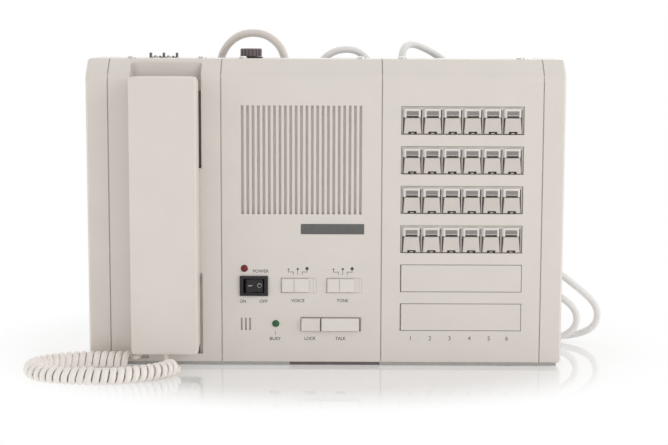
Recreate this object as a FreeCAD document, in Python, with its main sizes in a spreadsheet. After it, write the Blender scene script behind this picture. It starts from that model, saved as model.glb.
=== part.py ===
import FreeCAD, Part
import math
import os
import re

import Sketcher
from FreeCAD import Vector

# Desk intercom master station, standing upright. Millimetres, +Z up.
# Places below are measured from the casing: X from its middle, Y back from its front face,
# Z up from its lower edge. place() then moves each piece into the frame, whose origin is
# under the middle of the whole station, on the surface that its feet stand on.

SIZES = {
    # casing
    "casingHeight": 228,
    "casingDepth": 75,
    "frontHeight": 216,  # where the flat front turns into the bevel
    "bevelDepth": 14,
    "bevelRound": 9,
    "coverDepth": 58,  # front covers, front to back at the top
    "ledgeHeight": 186,  # rear ledge that the cables come out of
    "wall": 2.5,
    "flangeFront": 16,  # rear chassis flanges start here, under the cover screws
    "sheet": 1.5,  # steel of the rear chassis
    "fit": 0.3,  # gap between pieces that seat or slide
    "seam": 0.7,  # joint line between modules
    "lipThick": 1.2,  # tongues behind the seams
    "lipHold": 3,
    "lipReach": 2.2,
    "capWidth": 16.5,
    "capChamfer": 1.6,
    "handsetModule": 84,
    "speakerModule": 120,
    "selectorModule": 120,
    "footDiameter": 14,
    "footHeight": 3,
    "footInset": 22,
    # cover screws and what stands on the top
    "screwHole": 3.4,
    "screwInset": 15.4,
    "screwRow": 22,
    "terminalPlace": -5.3,
    "terminalRow": 50,
    "terminalPitch": 10.1,
    "terminalDepth": 9,
    "terminalBase": 7,
    "barrierThick": 1.1,
    "barrierProud": 3.8,
    "fusePlace": -39.8,
    "fuseRow": 46,
    "fuseNeck": 12.6,
    "fuseFlange": 18,
    "fuseFlangeHeight": 1,
    "fuseBodyLength": 26,
    "fuseCapDiameter": 16.4,
    "fuseCapHeight": 6,
    "fuseFlutes": 18,
    "fuseFluteWidth": 1.4,
    "fuseCapRound": 0.8,
    "fuseSlotLength": 9,
    "fuseSlotWidth": 1.6,
    "fuseStem": 8,
    "fuseStemLength": 10,
    # handset cradle
    "pocketShift": 1,
    "pocketWidth": 52.6,
    "scoopDepth": 10.5,
    "scoopFloor": 204,
    "scoopCorner": 1.5,
    "earPocketLow": 147,
    "earPocketDepth": 24,
    "mouthPocketLow": 6,
    "mouthPocketHigh": 68,
    "mouthPocketFlat": 50,
    "mouthPocketDepth": 13,
    "hookHeight": 34,
    "hookDiameter": 6,
    "hookCollar": 9.5,
    "hookCollarThick": 1.5,
    "hookLength": 14,
    "hookTravel": 3,
    "jackPlace": -19.5,
    "jackWidth": 10.4,
    "jackHeight": 6.2,
    "jackDepth": 12,
    # handset
    "handsetShift": 0.9,
    "handsetWidth": 49.4,
    "handsetLow": 9.8,
    "handsetHigh": 215.4,
    "handsetProud": 24,
    "handsetGap": 0.5,  # behind the grip, in front of the cradle
    "handsetSplit": 11,  # shells meet this far behind the handset's front
    "handsetShell": 2.2,
    "handsetRound": 2.2,
    "handsetRim": 1.4,
    "handsetBend": 56,
    "handsetBendDrop": 1,
    "earBossLow": 151,
    "earBossHigh": 200.5,
    "bossSlope": 2,
    "bossInset": 1.7,  # from the side of the grip
    "bossRound": 5,
    "mouthBossHigh": 47.5,
    "mouthBossRamp": 15,
    "soundHole": 2.2,
    "soundRing": 7,
    # loudspeaker
    "clothThick": 0.5,  # speaker cloth between the panel and the frame
    "grillePitch": 4.01,
    "grilleSlots": 23,
    "grilleSlotWidth": 1.9,
    "grilleLow": 112.7,
    "grilleHeight": 81.1,
    "speakerDiameter": 84,
    "speakerHeight": 153.2,
    "speakerRim": 4,
    "speakerRimThick": 2,
    "basketDepth": 22,
    "basketBack": 42,
    "magnetDiameter": 45,
    "magnetDepth": 13,
    "coneThick": 0.8,
    "coneDepth": 14,
    "dustCap": 24,
    "dustCapHeight": 4,
    # badge
    "badgePlace": 23.25,
    "badgeHeight": 101.4,
    "badgeLong": 47.5,
    "badgeTall": 7.7,
    "badgeRecess": 0.4,
    # panel lamps
    "lampDiameter": 5,
    "lampRim": 6.6,
    "lampRimThick": 1,
    "lampProud": 2,
    "lampLength": 9,
    "powerLampPlace": -43,
    "powerLampHeight": 71.4,
    "busyLampPlace": -19.4,
    "busyLampHeight": 29.3,
    # power rocker
    "rockerPlace": -35.8,
    "rockerHeight": 58.2,
    "bezelWidth": 21.2,
    "bezelTall": 15.1,
    "bezelProud": 1.5,
    "bezelLip": 1.2,
    "bezelBodyDepth": 15,
    "rockerOpenWidth": 15.6,
    "rockerOpenTall": 10.6,
    "rockerCavity": 12,
    "rockerPivotDepth": 2.5,
    "rockerSaddle": 3.1,
    "rockerTilt": 11,
    "rockerBack": 4,
    "rockerPin": 2.4,
    "rockerPinReach": 0.7,
    "pinFit": 0.05,
    # slide switches
    "voicePlace": -2.1,
    "tonePlace": 32.15,
    "sliderHeight": 58.6,
    "sliderWindowWidth": 26.5,
    "sliderWindowTall": 11.3,
    "sliderKnobWidth": 20.3,
    "sliderKnobTall": 10.1,
    "sliderKnobProud": 1.4,
    "sliderTravel": 5,
    "sliderLine": 0.4,
    "sliderLinePlace": -0.9,
    "sliderRound": 0.6,
    "sliderPlate": 1.5,
    "sliderRecess": 0.4,  # raised face of the switch, behind the front of the panel
    "sliderEndGap": 1.6,
    "sliderPlateLip": 1.6,
    "sliderStem": 3,
    "sliderBodyDepth": 9,
    # microphone slots
    "micPlace": -42,
    "micPitch": 3.15,
    "micSlotWidth": 1.2,
    "micLow": 24.3,
    "micHeight": 9.3,
    # lock and talk buttons
    "buttonOpenLeft": -0.5,
    "buttonOpenWidth": 45.5,
    "buttonOpenTall": 10.6,
    "buttonHeight": 28.8,
    "buttonTall": 9.6,
    "buttonSide": 0.4,
    "buttonApart": 1.1,
    "lockWidth": 14.1,
    "talkWidth": 28.4,
    "buttonProud": 2.6,
    "buttonThick": 6,
    "buttonRound": 0.5,
    "buttonLip": 1.1,
    "buttonStem": 4,
    "buttonStemLength": 9,
    "buttonTravel": 2.5,
    # selector keys
    "windowLow": 24.1,
    "windowPitch": 29.7,
    "windowTall": 20.9,
    "windowSide": 1.875,  # from the outer keys to the ends of a window
    "keyPitch": 14.95,
    "keyTopWidth": 11.3,
    "keyFootWidth": 13,
    "keyLow": 0.7,
    "keyHigh": 12.3,
    "keyProud": 0.8,
    "keyThick": 5,
    "keyEdge": 0.4,
    "keyNotchWidth": 6.3,
    "keyNotchTall": 1.6,
    "keyTongueWidth": 2.4,
    "keyTongueTall": 0.7,
    "keyNotchDepth": 4.2,
    "keyStemWidth": 6,
    "keyStemTall": 4,
    "keyStemLow": 4,
    "keyStemLength": 7,
    "lampHouseWidth": 12,
    "lampHouseLow": 12.7,
    "lampHouseHigh": 19.2,
    "lampHouseProud": 0.2,
    "lensWidth": 8.9,
    "lensTall": 3.6,
    "lensLow": 13.9,
    "lensDepth": 1.2,
    "lensProud": 0.25,
    "lensGroove": 0.3,
    "cellWall": 1,
    "cellWallBack": 2,
    "cellHeaderBack": 1.8,
    "trayLip": 1.8,
    "trayDepth": 7,
    "trayFloor": 1.5,
    "plateGap": 0.35,
    "plateGapLeft": 0.9,
    "plateRear": 1.2,
    # circuit boards
    "boardThick": 1.6,
    "controlBoardDepth": 24,
    "controlBoardWidth": 112,
    "controlBoardTall": 100,
    "selectorBoardDepth": 16,
    "selectorBoardBeyond": 6.25,  # past the ends of a window
    "selectorBoardTall": 176,
    "boardLow": 8,
    "boardPost": 3,
    "postInset": 2.2,
    "switchBlockWidth": 8,
    # cooling slots in the rear chassis
    "ventPitch": 7,
    "ventSlots": 16,
    "ventWidth": 2.6,
    "ventLow": 50,
    "ventTall": 36,
    # cables and their outlets
    "outletRow": 66.5,
    "mainsOutlet": -30.6,
    "mainsRelief": 20,
    "mainsReliefFoot": 12,
    "mainsReliefTip": 7.6,
    "linkOutletLeft": -17.5,
    "linkOutletRight": 38.5,
    "stationOutlet": 57,
    "cableOutlet": 7,
    "cableOutletFoot": 10,
    "cableOutletTip": 7,
    "outletNeck": 8,
    "outletNeckLength": 6,
    "mainsCord": 6.2,
    "stationCable": 5.6,
    "curlDiameter": 12.5,
    "curlLead": 3.8,
    "coilTurns": 68,
    "coilBand": 19,
    "coilTall": 12.4,
    "coilPlaceX": -89.6,
    "coilPlaceY": 142.8,
    "coilEntryX": 25,
    "coilEntryY": 31.5,
    "coilTail": 42,
    "plugLength": 36,
    "plugWidth": 26,
    "plugTall": 16,
    "plugPin": 4,
    "plugPinLength": 19,
    "plugPinPitch": 14,
    "stationPlugX": 150,
    "stationPlugY": 90,
    "connectorLength": 26,
    "connectorWidth": 16,
    "connectorTall": 11,
    "connectorNose": 8,
}

document = FreeCAD.newDocument("desk_intercom")
dims = document.addObject("Spreadsheet::Sheet", "Dims")
for row, (alias, size) in enumerate(SIZES.items(), start=1):
    dims.set(f"A{row}", alias)
    dims.set(f"B{row}", str(size))
    dims.setAlias(f"B{row}", alias)
document.recompute()

# places that follow from the sizes
HANDSET_X = "(-(speakerModule + selectorModule) / 2)"
SPEAKER_X = "((handsetModule - selectorModule) / 2)"
SELECTOR_X = "((handsetModule + speakerModule) / 2)"
CAP_X = "((handsetModule + speakerModule + selectorModule + seam) / 2)"
FRONT_Y = "((handsetProud - casingDepth) / 2)"
BEVEL_SLOPE = "sqrt(bevelDepth^2 + (casingHeight - frontHeight)^2)"
INNER_TOP = "(casingHeight - wall)"
KEY_COLUMNS = 6
KEY_ROWS = 4
WINDOW_WIDTH = f"(keyPitch * {KEY_COLUMNS - 1} + keyFootWidth + 2 * windowSide)"
LOCK_LEFT = "(buttonOpenLeft + buttonSide)"
TALK_LEFT = "(buttonOpenLeft + buttonSide + lockWidth + buttonApart)"
BLANK_ROWS = 2  # windows without keys, counted from the lowest
LENS_GROOVES = 5
OVERCUT = 5  # how far a cutting shape runs past the face it opens


def bevel_low(depth):
    """Height where the front meets the bevel, on the profile that lies depth inside the outer one."""
    return f"(frontHeight - ({depth}) * ({BEVEL_SLOPE} - casingHeight + frontHeight) / bevelDepth)"


def bevel_back(depth):
    """How far back the bevel meets the top, on the same profile."""
    return f"(bevelDepth + ({depth}) * ({BEVEL_SLOPE} - bevelDepth) / (casingHeight - frontHeight))"


INNER_BEVEL_LOW = bevel_low("wall")
INNER_BEVEL_BACK = bevel_back("wall")

nodes = []
tubes = []


def formula(text):
    """A formula of sizes, with each size's name made a reference to its cell."""
    return re.sub(
        r"[A-Za-z]\w*", lambda word: f"Dims.{word[0]}" if word[0] in SIZES else word[0], str(text)
    )


def number(text):
    return float(dims.evalExpression(formula(text)))


def node(item, name, x="0", y="0", z="0"):
    """Names a finished sub-part and puts it in the frame."""
    item.Label = name
    item.setExpression("Placement.Base.x", formula(x))
    item.setExpression("Placement.Base.y", formula(f"{FRONT_Y} + {y}"))
    item.setExpression("Placement.Base.z", formula(f"footHeight + {z}"))
    nodes.append(item)
    return item


# ---- Part Design helpers ----


def new_body(name):
    return document.addObject("PartDesign::Body", f"body_{name}")


def origin_feature(body, role):
    return next(item for item in body.Origin.OriginFeatures if item.Role == role)


def rectangle(left, right, low, high):
    return [(left, low), (left, high), (right, high), (right, low)]


def centred(x, y, width, height):
    return rectangle(
        f"{x} - {width} / 2", f"{x} + {width} / 2", f"{y} - {height} / 2", f"{y} + {height} / 2"
    )


def sketch(body, name, plane, loops=(), circles=(), lift="0"):
    """A sketch of closed outlines and circles; each corner and centre is held to the sheet."""
    item = body.newObject("Sketcher::SketchObject", name)
    item.AttachmentSupport = (origin_feature(body, f"{plane}_Plane"), [""])
    item.MapMode = "FlatFace"
    item.setExpression("AttachmentOffset.Base.z", formula(lift))
    for corners in loops:
        points = [Vector(number(x), number(y), 0) for x, y in corners]
        first = item.GeometryCount
        for start, end in zip(points, points[1:] + points[:1]):
            item.addGeometry(Part.LineSegment(start, end))
        for step, (x, y) in enumerate(corners):
            line = first + step
            following = first + (step + 1) % len(corners)
            item.addConstraint(Sketcher.Constraint("Coincident", line, 2, following, 1))
            hold(item, "DistanceX", line, 1, x)
            hold(item, "DistanceY", line, 1, y)
    for x, y, diameter in circles:
        centre = Vector(number(x), number(y), 0)
        circle = item.addGeometry(Part.Circle(centre, Vector(0, 0, 1), number(diameter) / 2))
        hold(item, "DistanceX", circle, 3, x)
        hold(item, "DistanceY", circle, 3, y)
        index = item.addConstraint(Sketcher.Constraint("Diameter", circle, number(diameter)))
        item.setExpression(f"Constraints[{index}]", formula(diameter))
    return item


def hold(item, kind, line, end, size):
    index = item.addConstraint(Sketcher.Constraint(kind, -1, 1, line, end, number(size)))
    item.setExpression(f"Constraints[{index}]", formula(size))


def extrude(body, kind, profile, length, side="along"):
    """A Pad or Pocket: along its own direction, the other way, or to both sides alike."""
    item = body.newObject(f"PartDesign::{kind}", f"{profile.Name}_{kind.lower()}")
    item.Profile = profile
    item.SideType = "Symmetric" if side == "both" else "One side"
    item.Reversed = side == "back"
    item.setExpression("Length", formula(length))
    return item


def repeat(body, feature, axis, spacing, count, whole=False):
    item = body.newObject("PartDesign::LinearPattern", f"{feature.Name}_row")
    if whole:
        item.TransformMode = "Whole shape"
    else:
        item.Originals = [feature]
    item.Direction = (origin_feature(body, f"{axis}_Axis"), [""])
    item.Mode = "Spacing"
    item.setExpression("Offset", formula(spacing))
    item.setExpression("Occurrences", formula(count))
    body.Tip = item
    return item


def dress(body, kind, name, size, chosen):
    """A Fillet or Chamfer on the edges that chosen(edge) picks from the shape so far."""
    document.recompute()
    base = body.Tip
    edges = [f"Edge{i}" for i, edge in enumerate(base.Shape.Edges, start=1) if chosen(edge)]
    if not edges:
        raise ValueError(f"{name} finds no edges")
    item = body.newObject(f"PartDesign::{kind}", name)
    item.Base = (base, edges)
    item.setExpression("Radius" if kind == "Fillet" else "Size", formula(size))
    return item


def lies(edge, **where):
    """Whether an edge keeps to the given coordinates, such as y=0, over its whole length."""
    box = edge.BoundBox
    spans = {"x": (box.XMin, box.XMax), "y": (box.YMin, box.YMax), "z": (box.ZMin, box.ZMax)}
    return all(max(abs(end - value) for end in spans[axis]) < 0.01 for axis, value in where.items())


def runs(edge, axis):
    """Whether an edge is straight along one axis."""
    box = edge.BoundBox
    lengths = {"x": box.XLength, "y": box.YLength, "z": box.ZLength}
    return all((length > 0.01) == (name == axis) for name, length in lengths.items())


# ---- Part helpers ----


def block(name, x, y, z, size_x, size_y, size_z):
    """A box between a low corner and the sizes given."""
    item = document.addObject("Part::Box", name)
    set_place(item, x, y, z)
    item.setExpression("Length", formula(size_x))
    item.setExpression("Width", formula(size_y))
    item.setExpression("Height", formula(size_z))
    return item


def set_place(item, x, y, z):
    item.setExpression("Placement.Base.x", formula(x))
    item.setExpression("Placement.Base.y", formula(y))
    item.setExpression("Placement.Base.z", formula(z))


UP = FreeCAD.Rotation()
BACK = FreeCAD.Rotation(Vector(0, 0, 1), Vector(0, 1, 0))


def rod(name, x, y, z, diameter, length, turn=UP):
    """A cylinder that starts at a point and runs up or back."""
    item = document.addObject("Part::Cylinder", name)
    item.Placement.Rotation = turn
    set_place(item, x, y, z)
    item.setExpression("Radius", formula(f"({diameter}) / 2"))
    item.setExpression("Height", formula(length))
    return item


def taper(name, x, y, z, foot, tip, length, turn=UP):
    item = document.addObject("Part::Cone", name)
    item.Placement.Rotation = turn
    set_place(item, x, y, z)
    item.setExpression("Radius1", formula(f"({foot}) / 2"))
    item.setExpression("Radius2", formula(f"({tip}) / 2"))
    item.setExpression("Height", formula(length))
    return item


def cut(name, base, tool):
    item = document.addObject("Part::Cut", name)
    item.Base = base
    item.Tool = tool
    return item


def fuse(name, shapes):
    item = document.addObject("Part::MultiFuse", name)
    item.Shapes = shapes
    return item


def group(name, shapes):
    item = document.addObject("Part::Compound", name)
    item.Links = shapes
    return item


# ---- casing ----


def cover(name, width, x):
    """Front cover of one module: front, bevel, top and underside, open at the back and ends."""
    body = new_body(name)
    section = sketch(body, f"{name}_section", "YZ", [[
        ("0", "0"),
        ("0", "frontHeight"),
        ("bevelDepth", "casingHeight"),
        ("coverDepth", "casingHeight"),
        ("coverDepth", INNER_TOP),
        (INNER_BEVEL_BACK, INNER_TOP),
        ("wall", INNER_BEVEL_LOW),
        ("wall", "wall"),
        ("casingDepth - sheet", "wall"),
        ("casingDepth - sheet", "0"),
    ]])
    extrude(body, "Pad", section, f"{width} - seam", "both")
    dress(body, "Fillet", f"{name}_bevel_round", "bevelRound",
          lambda edge: lies(edge, y=0, z=number("frontHeight")))
    screws = [(f"{side} * ({width} / 2 - screwInset)", "screwRow", "screwHole") for side in (-1, 1)]
    holes = sketch(body, f"{name}_screw_holes", "XY", circles=screws, lift="casingHeight")
    extrude(body, "Pocket", holes, "wall * 2")
    node(body, name, x)
    return body


def seam_lips(body, width):
    """Tongues behind the front at both ends of a cover, which close the seams to its neighbours."""
    inner = "(wall + fit + lipThick)"
    for side, way in ((-1, "back"), (1, "along")):
        start = f"{side} * ({width} / 2 - seam / 2 - lipHold)"
        for part, outer, reach in (
            ("root", "(wall / 2)", "lipHold"),
            ("tongue", "(wall + fit)", "lipHold + seam + lipReach"),
        ):
            section = sketch(body, f"lip_{part}_{side + 2}", "YZ", lift=start, loops=[[
                (outer, "wall + fit"),
                (outer, bevel_low(outer)),
                (bevel_back(outer), f"casingHeight - {outer}"),
                (bevel_back(inner), f"casingHeight - {inner}"),
                (inner, bevel_low(inner)),
                (inner, "wall + fit"),
            ]])
            extrude(body, "Pad", section, reach, way)


def cradle(body):
    """The handset's pockets: a scoop through the bevel, the ear pocket and the mouth pocket."""
    block_width = "pocketWidth + 2 * wall"
    upper = sketch(body, "cradle_upper", "YZ", lift="pocketShift", loops=[[
        ("wall / 2", "earPocketLow - wall"),
        ("wall / 2", INNER_BEVEL_LOW),
        ("scoopDepth + wall", "casingHeight - wall / 2 - (bevelDepth - scoopDepth - wall)"),
        ("scoopDepth + wall", "scoopFloor + wall"),
        ("earPocketDepth + wall", "scoopFloor + wall"),
        ("earPocketDepth + wall", "earPocketLow - wall"),
    ]])
    extrude(body, "Pad", upper, block_width, "both")
    lower = sketch(body, "cradle_lower", "YZ", lift="pocketShift", loops=[[
        ("wall / 2", "wall / 2"),
        ("wall / 2", "mouthPocketHigh + wall"),
        ("mouthPocketDepth + wall", "mouthPocketFlat + wall"),
        ("mouthPocketDepth + wall", "wall / 2"),
    ]])
    extrude(body, "Pad", lower, block_width, "both")
    upper_pocket = sketch(body, "upper_pocket", "YZ", lift="pocketShift", loops=[[
        (-OVERCUT, "earPocketLow"),
        (-OVERCUT, f"casingHeight + {OVERCUT}"),
        ("scoopDepth", f"casingHeight + {OVERCUT}"),
        ("scoopDepth", "scoopFloor"),
        ("earPocketDepth", "scoopFloor"),
        ("earPocketDepth", "earPocketLow"),
    ]])
    extrude(body, "Pocket", upper_pocket, "pocketWidth", "both")
    dress(body, "Fillet", "scoop_corners", "scoopCorner",
          lambda edge: runs(edge, "z") and edge.BoundBox.ZMin > number("scoopFloor") - 0.01
          and abs(edge.BoundBox.YMin - number("scoopDepth")) < 0.01)
    lower_pocket = sketch(body, "lower_pocket", "YZ", lift="pocketShift", loops=[[
        (-OVERCUT, "mouthPocketLow"),
        (-OVERCUT, "mouthPocketHigh"),
        ("0", "mouthPocketHigh"),
        ("mouthPocketDepth", "mouthPocketFlat"),
        ("mouthPocketDepth", "mouthPocketLow"),
    ]])
    extrude(body, "Pocket", lower_pocket, "pocketWidth", "both")
    hook_hole = sketch(body, "hook_hole", "XZ", lift="-mouthPocketDepth + 1",
                       circles=[("0", "hookHeight", "hookDiameter + 2 * fit")])
    extrude(body, "Pocket", hook_hole, f"wall + {OVERCUT}")
    jack_notch = sketch(body, "jack_notch", "XZ", [rectangle(
        "jackPlace - jackWidth / 2 - fit", "jackPlace + jackWidth / 2 + fit",
        "wall", "wall + jackHeight + fit",
    )])
    extrude(body, "Pocket", jack_notch, "mouthPocketDepth + wall * 2")
    strip_window = sketch(body, "strip_window", "XY", lift="casingHeight", loops=[centred(
        "terminalPlace", "terminalRow",
        "(2 * terminalPitch + barrierThick + 2 * fit)", "(terminalDepth + 2 * fit)",
    )])
    extrude(body, "Pocket", strip_window, "wall * 2")


def handset_cover():
    body = cover("handset_cover", "handsetModule", HANDSET_X)
    seam_lips(body, "handsetModule")
    cradle(body)


def speaker_cover():
    body = cover("speaker_cover", "speakerModule", SPEAKER_X)
    first = "(-grillePitch * (grilleSlots - 1) / 2)"
    slot = sketch(body, "grille_slot", "XZ", [
        centred(first, "grilleLow + grilleHeight / 2", "grilleSlotWidth", "grilleHeight")
    ])
    repeat(body, extrude(body, "Pocket", slot, "wall * 2"), "X", "grillePitch", "grilleSlots")
    mic_slots = [
        centred(f"micPlace + {step} * micPitch", "micLow + micHeight / 2", "micSlotWidth", "micHeight")
        for step in (-1, 0, 1)
    ]
    windows = [
        centred("rockerPlace", "rockerHeight", "(bezelWidth - 2 * bezelLip + 2 * fit)",
                "(bezelTall - 2 * bezelLip + 2 * fit)"),
        centred("voicePlace", "sliderHeight", "sliderWindowWidth", "sliderWindowTall"),
        centred("tonePlace", "sliderHeight", "sliderWindowWidth", "sliderWindowTall"),
        centred("buttonOpenLeft + buttonOpenWidth / 2", "buttonHeight", "buttonOpenWidth",
                "buttonOpenTall"),
    ]
    lamps = [
        ("powerLampPlace", "powerLampHeight", "lampDiameter + fit"),
        ("busyLampPlace", "busyLampHeight", "lampDiameter + fit"),
    ]
    controls = sketch(body, "control_openings", "XZ", windows + mic_slots, lamps)
    extrude(body, "Pocket", controls, "wall * 2")
    badge = sketch(body, "badge_recess", "XZ",
                   [centred("badgePlace", "badgeHeight", "badgeLong", "badgeTall")])
    extrude(body, "Pocket", badge, "badgeRecess")
    fuse_hole = sketch(body, "fuse_hole", "XY", lift="casingHeight",
                       circles=[("fusePlace", "fuseRow", "fuseNeck + 2 * fit")])
    extrude(body, "Pocket", fuse_hole, "wall * 2")


def selector_cover():
    body = cover("selector_cover", "selectorModule", SELECTOR_X)
    seam_lips(body, "selectorModule")
    window = sketch(body, "key_window", "XZ", [
        rectangle(f"-{WINDOW_WIDTH} / 2", f"{WINDOW_WIDTH} / 2", "windowLow", "windowLow + windowTall")
    ])
    repeat(body, extrude(body, "Pocket", window, "wall * 2"), "Z", "windowPitch", str(KEY_ROWS + BLANK_ROWS))


def end_cap(name, side):
    """Hollow end cap, open towards the modules. side is -1 on the left and 1 on the right."""
    body = new_body(name)
    outer = sketch(body, f"{name}_section", "YZ", [[
        ("0", "0"),
        ("0", "frontHeight"),
        ("bevelDepth", "casingHeight"),
        ("casingDepth", "casingHeight"),
        ("casingDepth", "0"),
    ]])
    width = "capWidth - seam / 2"
    extrude(body, "Pad", outer, width, "along" if side > 0 else "back")
    dress(body, "Fillet", f"{name}_bevel_round", "bevelRound",
          lambda edge: lies(edge, y=0, z=number("frontHeight")))
    dress(body, "Chamfer", f"{name}_edge", "capChamfer",
          lambda edge: lies(edge, x=side * number(width)))
    inner = sketch(body, f"{name}_hollow", "YZ", [[
        ("wall", "wall"),
        ("wall", INNER_BEVEL_LOW),
        (INNER_BEVEL_BACK, INNER_TOP),
        ("casingDepth - wall", INNER_TOP),
        ("casingDepth - wall", "wall"),
    ]])
    extrude(body, "Pocket", inner, f"{width} - wall", "back" if side > 0 else "along")
    node(body, name, f"{side} * {CAP_X}")


def rear_chassis():
    """Bent sheet behind all three modules, with the ledge that the cables leave from."""
    body = new_body("rear_chassis")
    section = sketch(body, "chassis_section", "YZ", [[
        ("flangeFront", INNER_TOP),
        ("coverDepth", INNER_TOP),
        ("coverDepth", "ledgeHeight"),
        ("casingDepth", "ledgeHeight"),
        ("casingDepth", "0"),
        ("casingDepth - sheet", "0"),
        ("casingDepth - sheet", "wall"),
        ("flangeFront", "wall"),
        ("flangeFront", "wall + sheet"),
        ("casingDepth - sheet", "wall + sheet"),
        ("casingDepth - sheet", "ledgeHeight - sheet"),
        ("coverDepth - sheet", "ledgeHeight - sheet"),
        ("coverDepth - sheet", f"{INNER_TOP} - sheet"),
        ("flangeFront", f"{INNER_TOP} - sheet"),
    ]])
    extrude(body, "Pad", section, f"2 * {CAP_X} - 2 * fit", "both")
    modules = (HANDSET_X, "handsetModule"), (SPEAKER_X, "speakerModule"), (SELECTOR_X, "selectorModule")
    screws = [
        (f"{x} + {side} * ({width} / 2 - screwInset)", "screwRow", "screwHole")
        for x, width in modules
        for side in (-1, 1)
    ]
    fuse_hole = [(f"{SPEAKER_X} + fusePlace", "fuseRow", "fuseNeck + 2 * fit")]
    strip = centred(f"{HANDSET_X} + terminalPlace", "terminalRow",
                    "(2 * terminalPitch + barrierThick + 2 * fit)", "(terminalDepth + 2 * fit)")
    top = sketch(body, "chassis_top_holes", "XY", [strip], screws + fuse_hole, lift=INNER_TOP)
    extrude(body, "Pocket", top, "sheet * 2")
    outlets = [(x, "outletRow", "outletNeck + fit")
               for x in ("mainsOutlet", "linkOutletLeft", "linkOutletRight", "stationOutlet")]
    ledge = sketch(body, "chassis_ledge_holes", "XY", circles=outlets, lift="ledgeHeight")
    extrude(body, "Pocket", ledge, "sheet * 2")
    first = f"({SPEAKER_X} - ventPitch * (ventSlots - 1) / 2)"
    vent = sketch(body, "vent_slot", "XZ", lift="-(casingDepth - 2 * sheet)",
                  loops=[centred(first, "ventLow + ventTall / 2", "ventWidth", "ventTall")])
    repeat(body, extrude(body, "Pocket", vent, "sheet * 3"), "X", "ventPitch", "ventSlots")
    node(body, "rear_chassis")


def feet():
    half = f"({CAP_X} - seam / 2)"
    pads = [
        rod(f"foot_{side}_{row}", f"{x}", y, "-footHeight", "footDiameter", "footHeight")
        for side, x in (("left", f"-{half} + footInset"), ("right", f"{half} - footInset"))
        for row, y in (("front", "footInset"), ("rear", "casingDepth - footInset"))
    ]
    node(group("feet_group", pads), "feet")


# ---- handset and cradle fittings ----


def handset_front_shell():
    body = new_body("handset_front_shell")
    side = sketch(body, "front_shell_side", "YZ", [[
        ("-handsetProud + handsetSplit", "handsetLow"),
        ("-handsetProud + handsetBendDrop", "handsetLow"),
        ("-handsetProud", "handsetBend"),
        ("-handsetProud", "handsetHigh"),
        ("-handsetProud + handsetSplit", "handsetHigh"),
    ]])
    extrude(body, "Pad", side, "handsetWidth", "both")
    dress(body, "Fillet", "front_shell_corners", "handsetRound", lambda edge: runs(edge, "y"))
    front = -number("handsetProud - handsetBendDrop") + 0.01
    dress(body, "Fillet", "front_shell_rim", "handsetRim",
          lambda edge: edge.BoundBox.YMax < front and not runs(edge, "x") or
          edge.BoundBox.YMax < front and not lies(edge, z=number("handsetBend")))
    hollow = sketch(body, "front_shell_hollow", "XZ", lift="handsetProud - handsetSplit", loops=[rectangle(
        "-handsetWidth / 2 + handsetShell", "handsetWidth / 2 - handsetShell",
        "handsetLow + handsetShell", "handsetHigh - handsetShell",
    )])
    extrude(body, "Pocket", hollow, "handsetSplit - handsetShell - handsetBendDrop", "back")
    node(body, "handset_front_shell", f"{HANDSET_X} + handsetShift")


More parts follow.
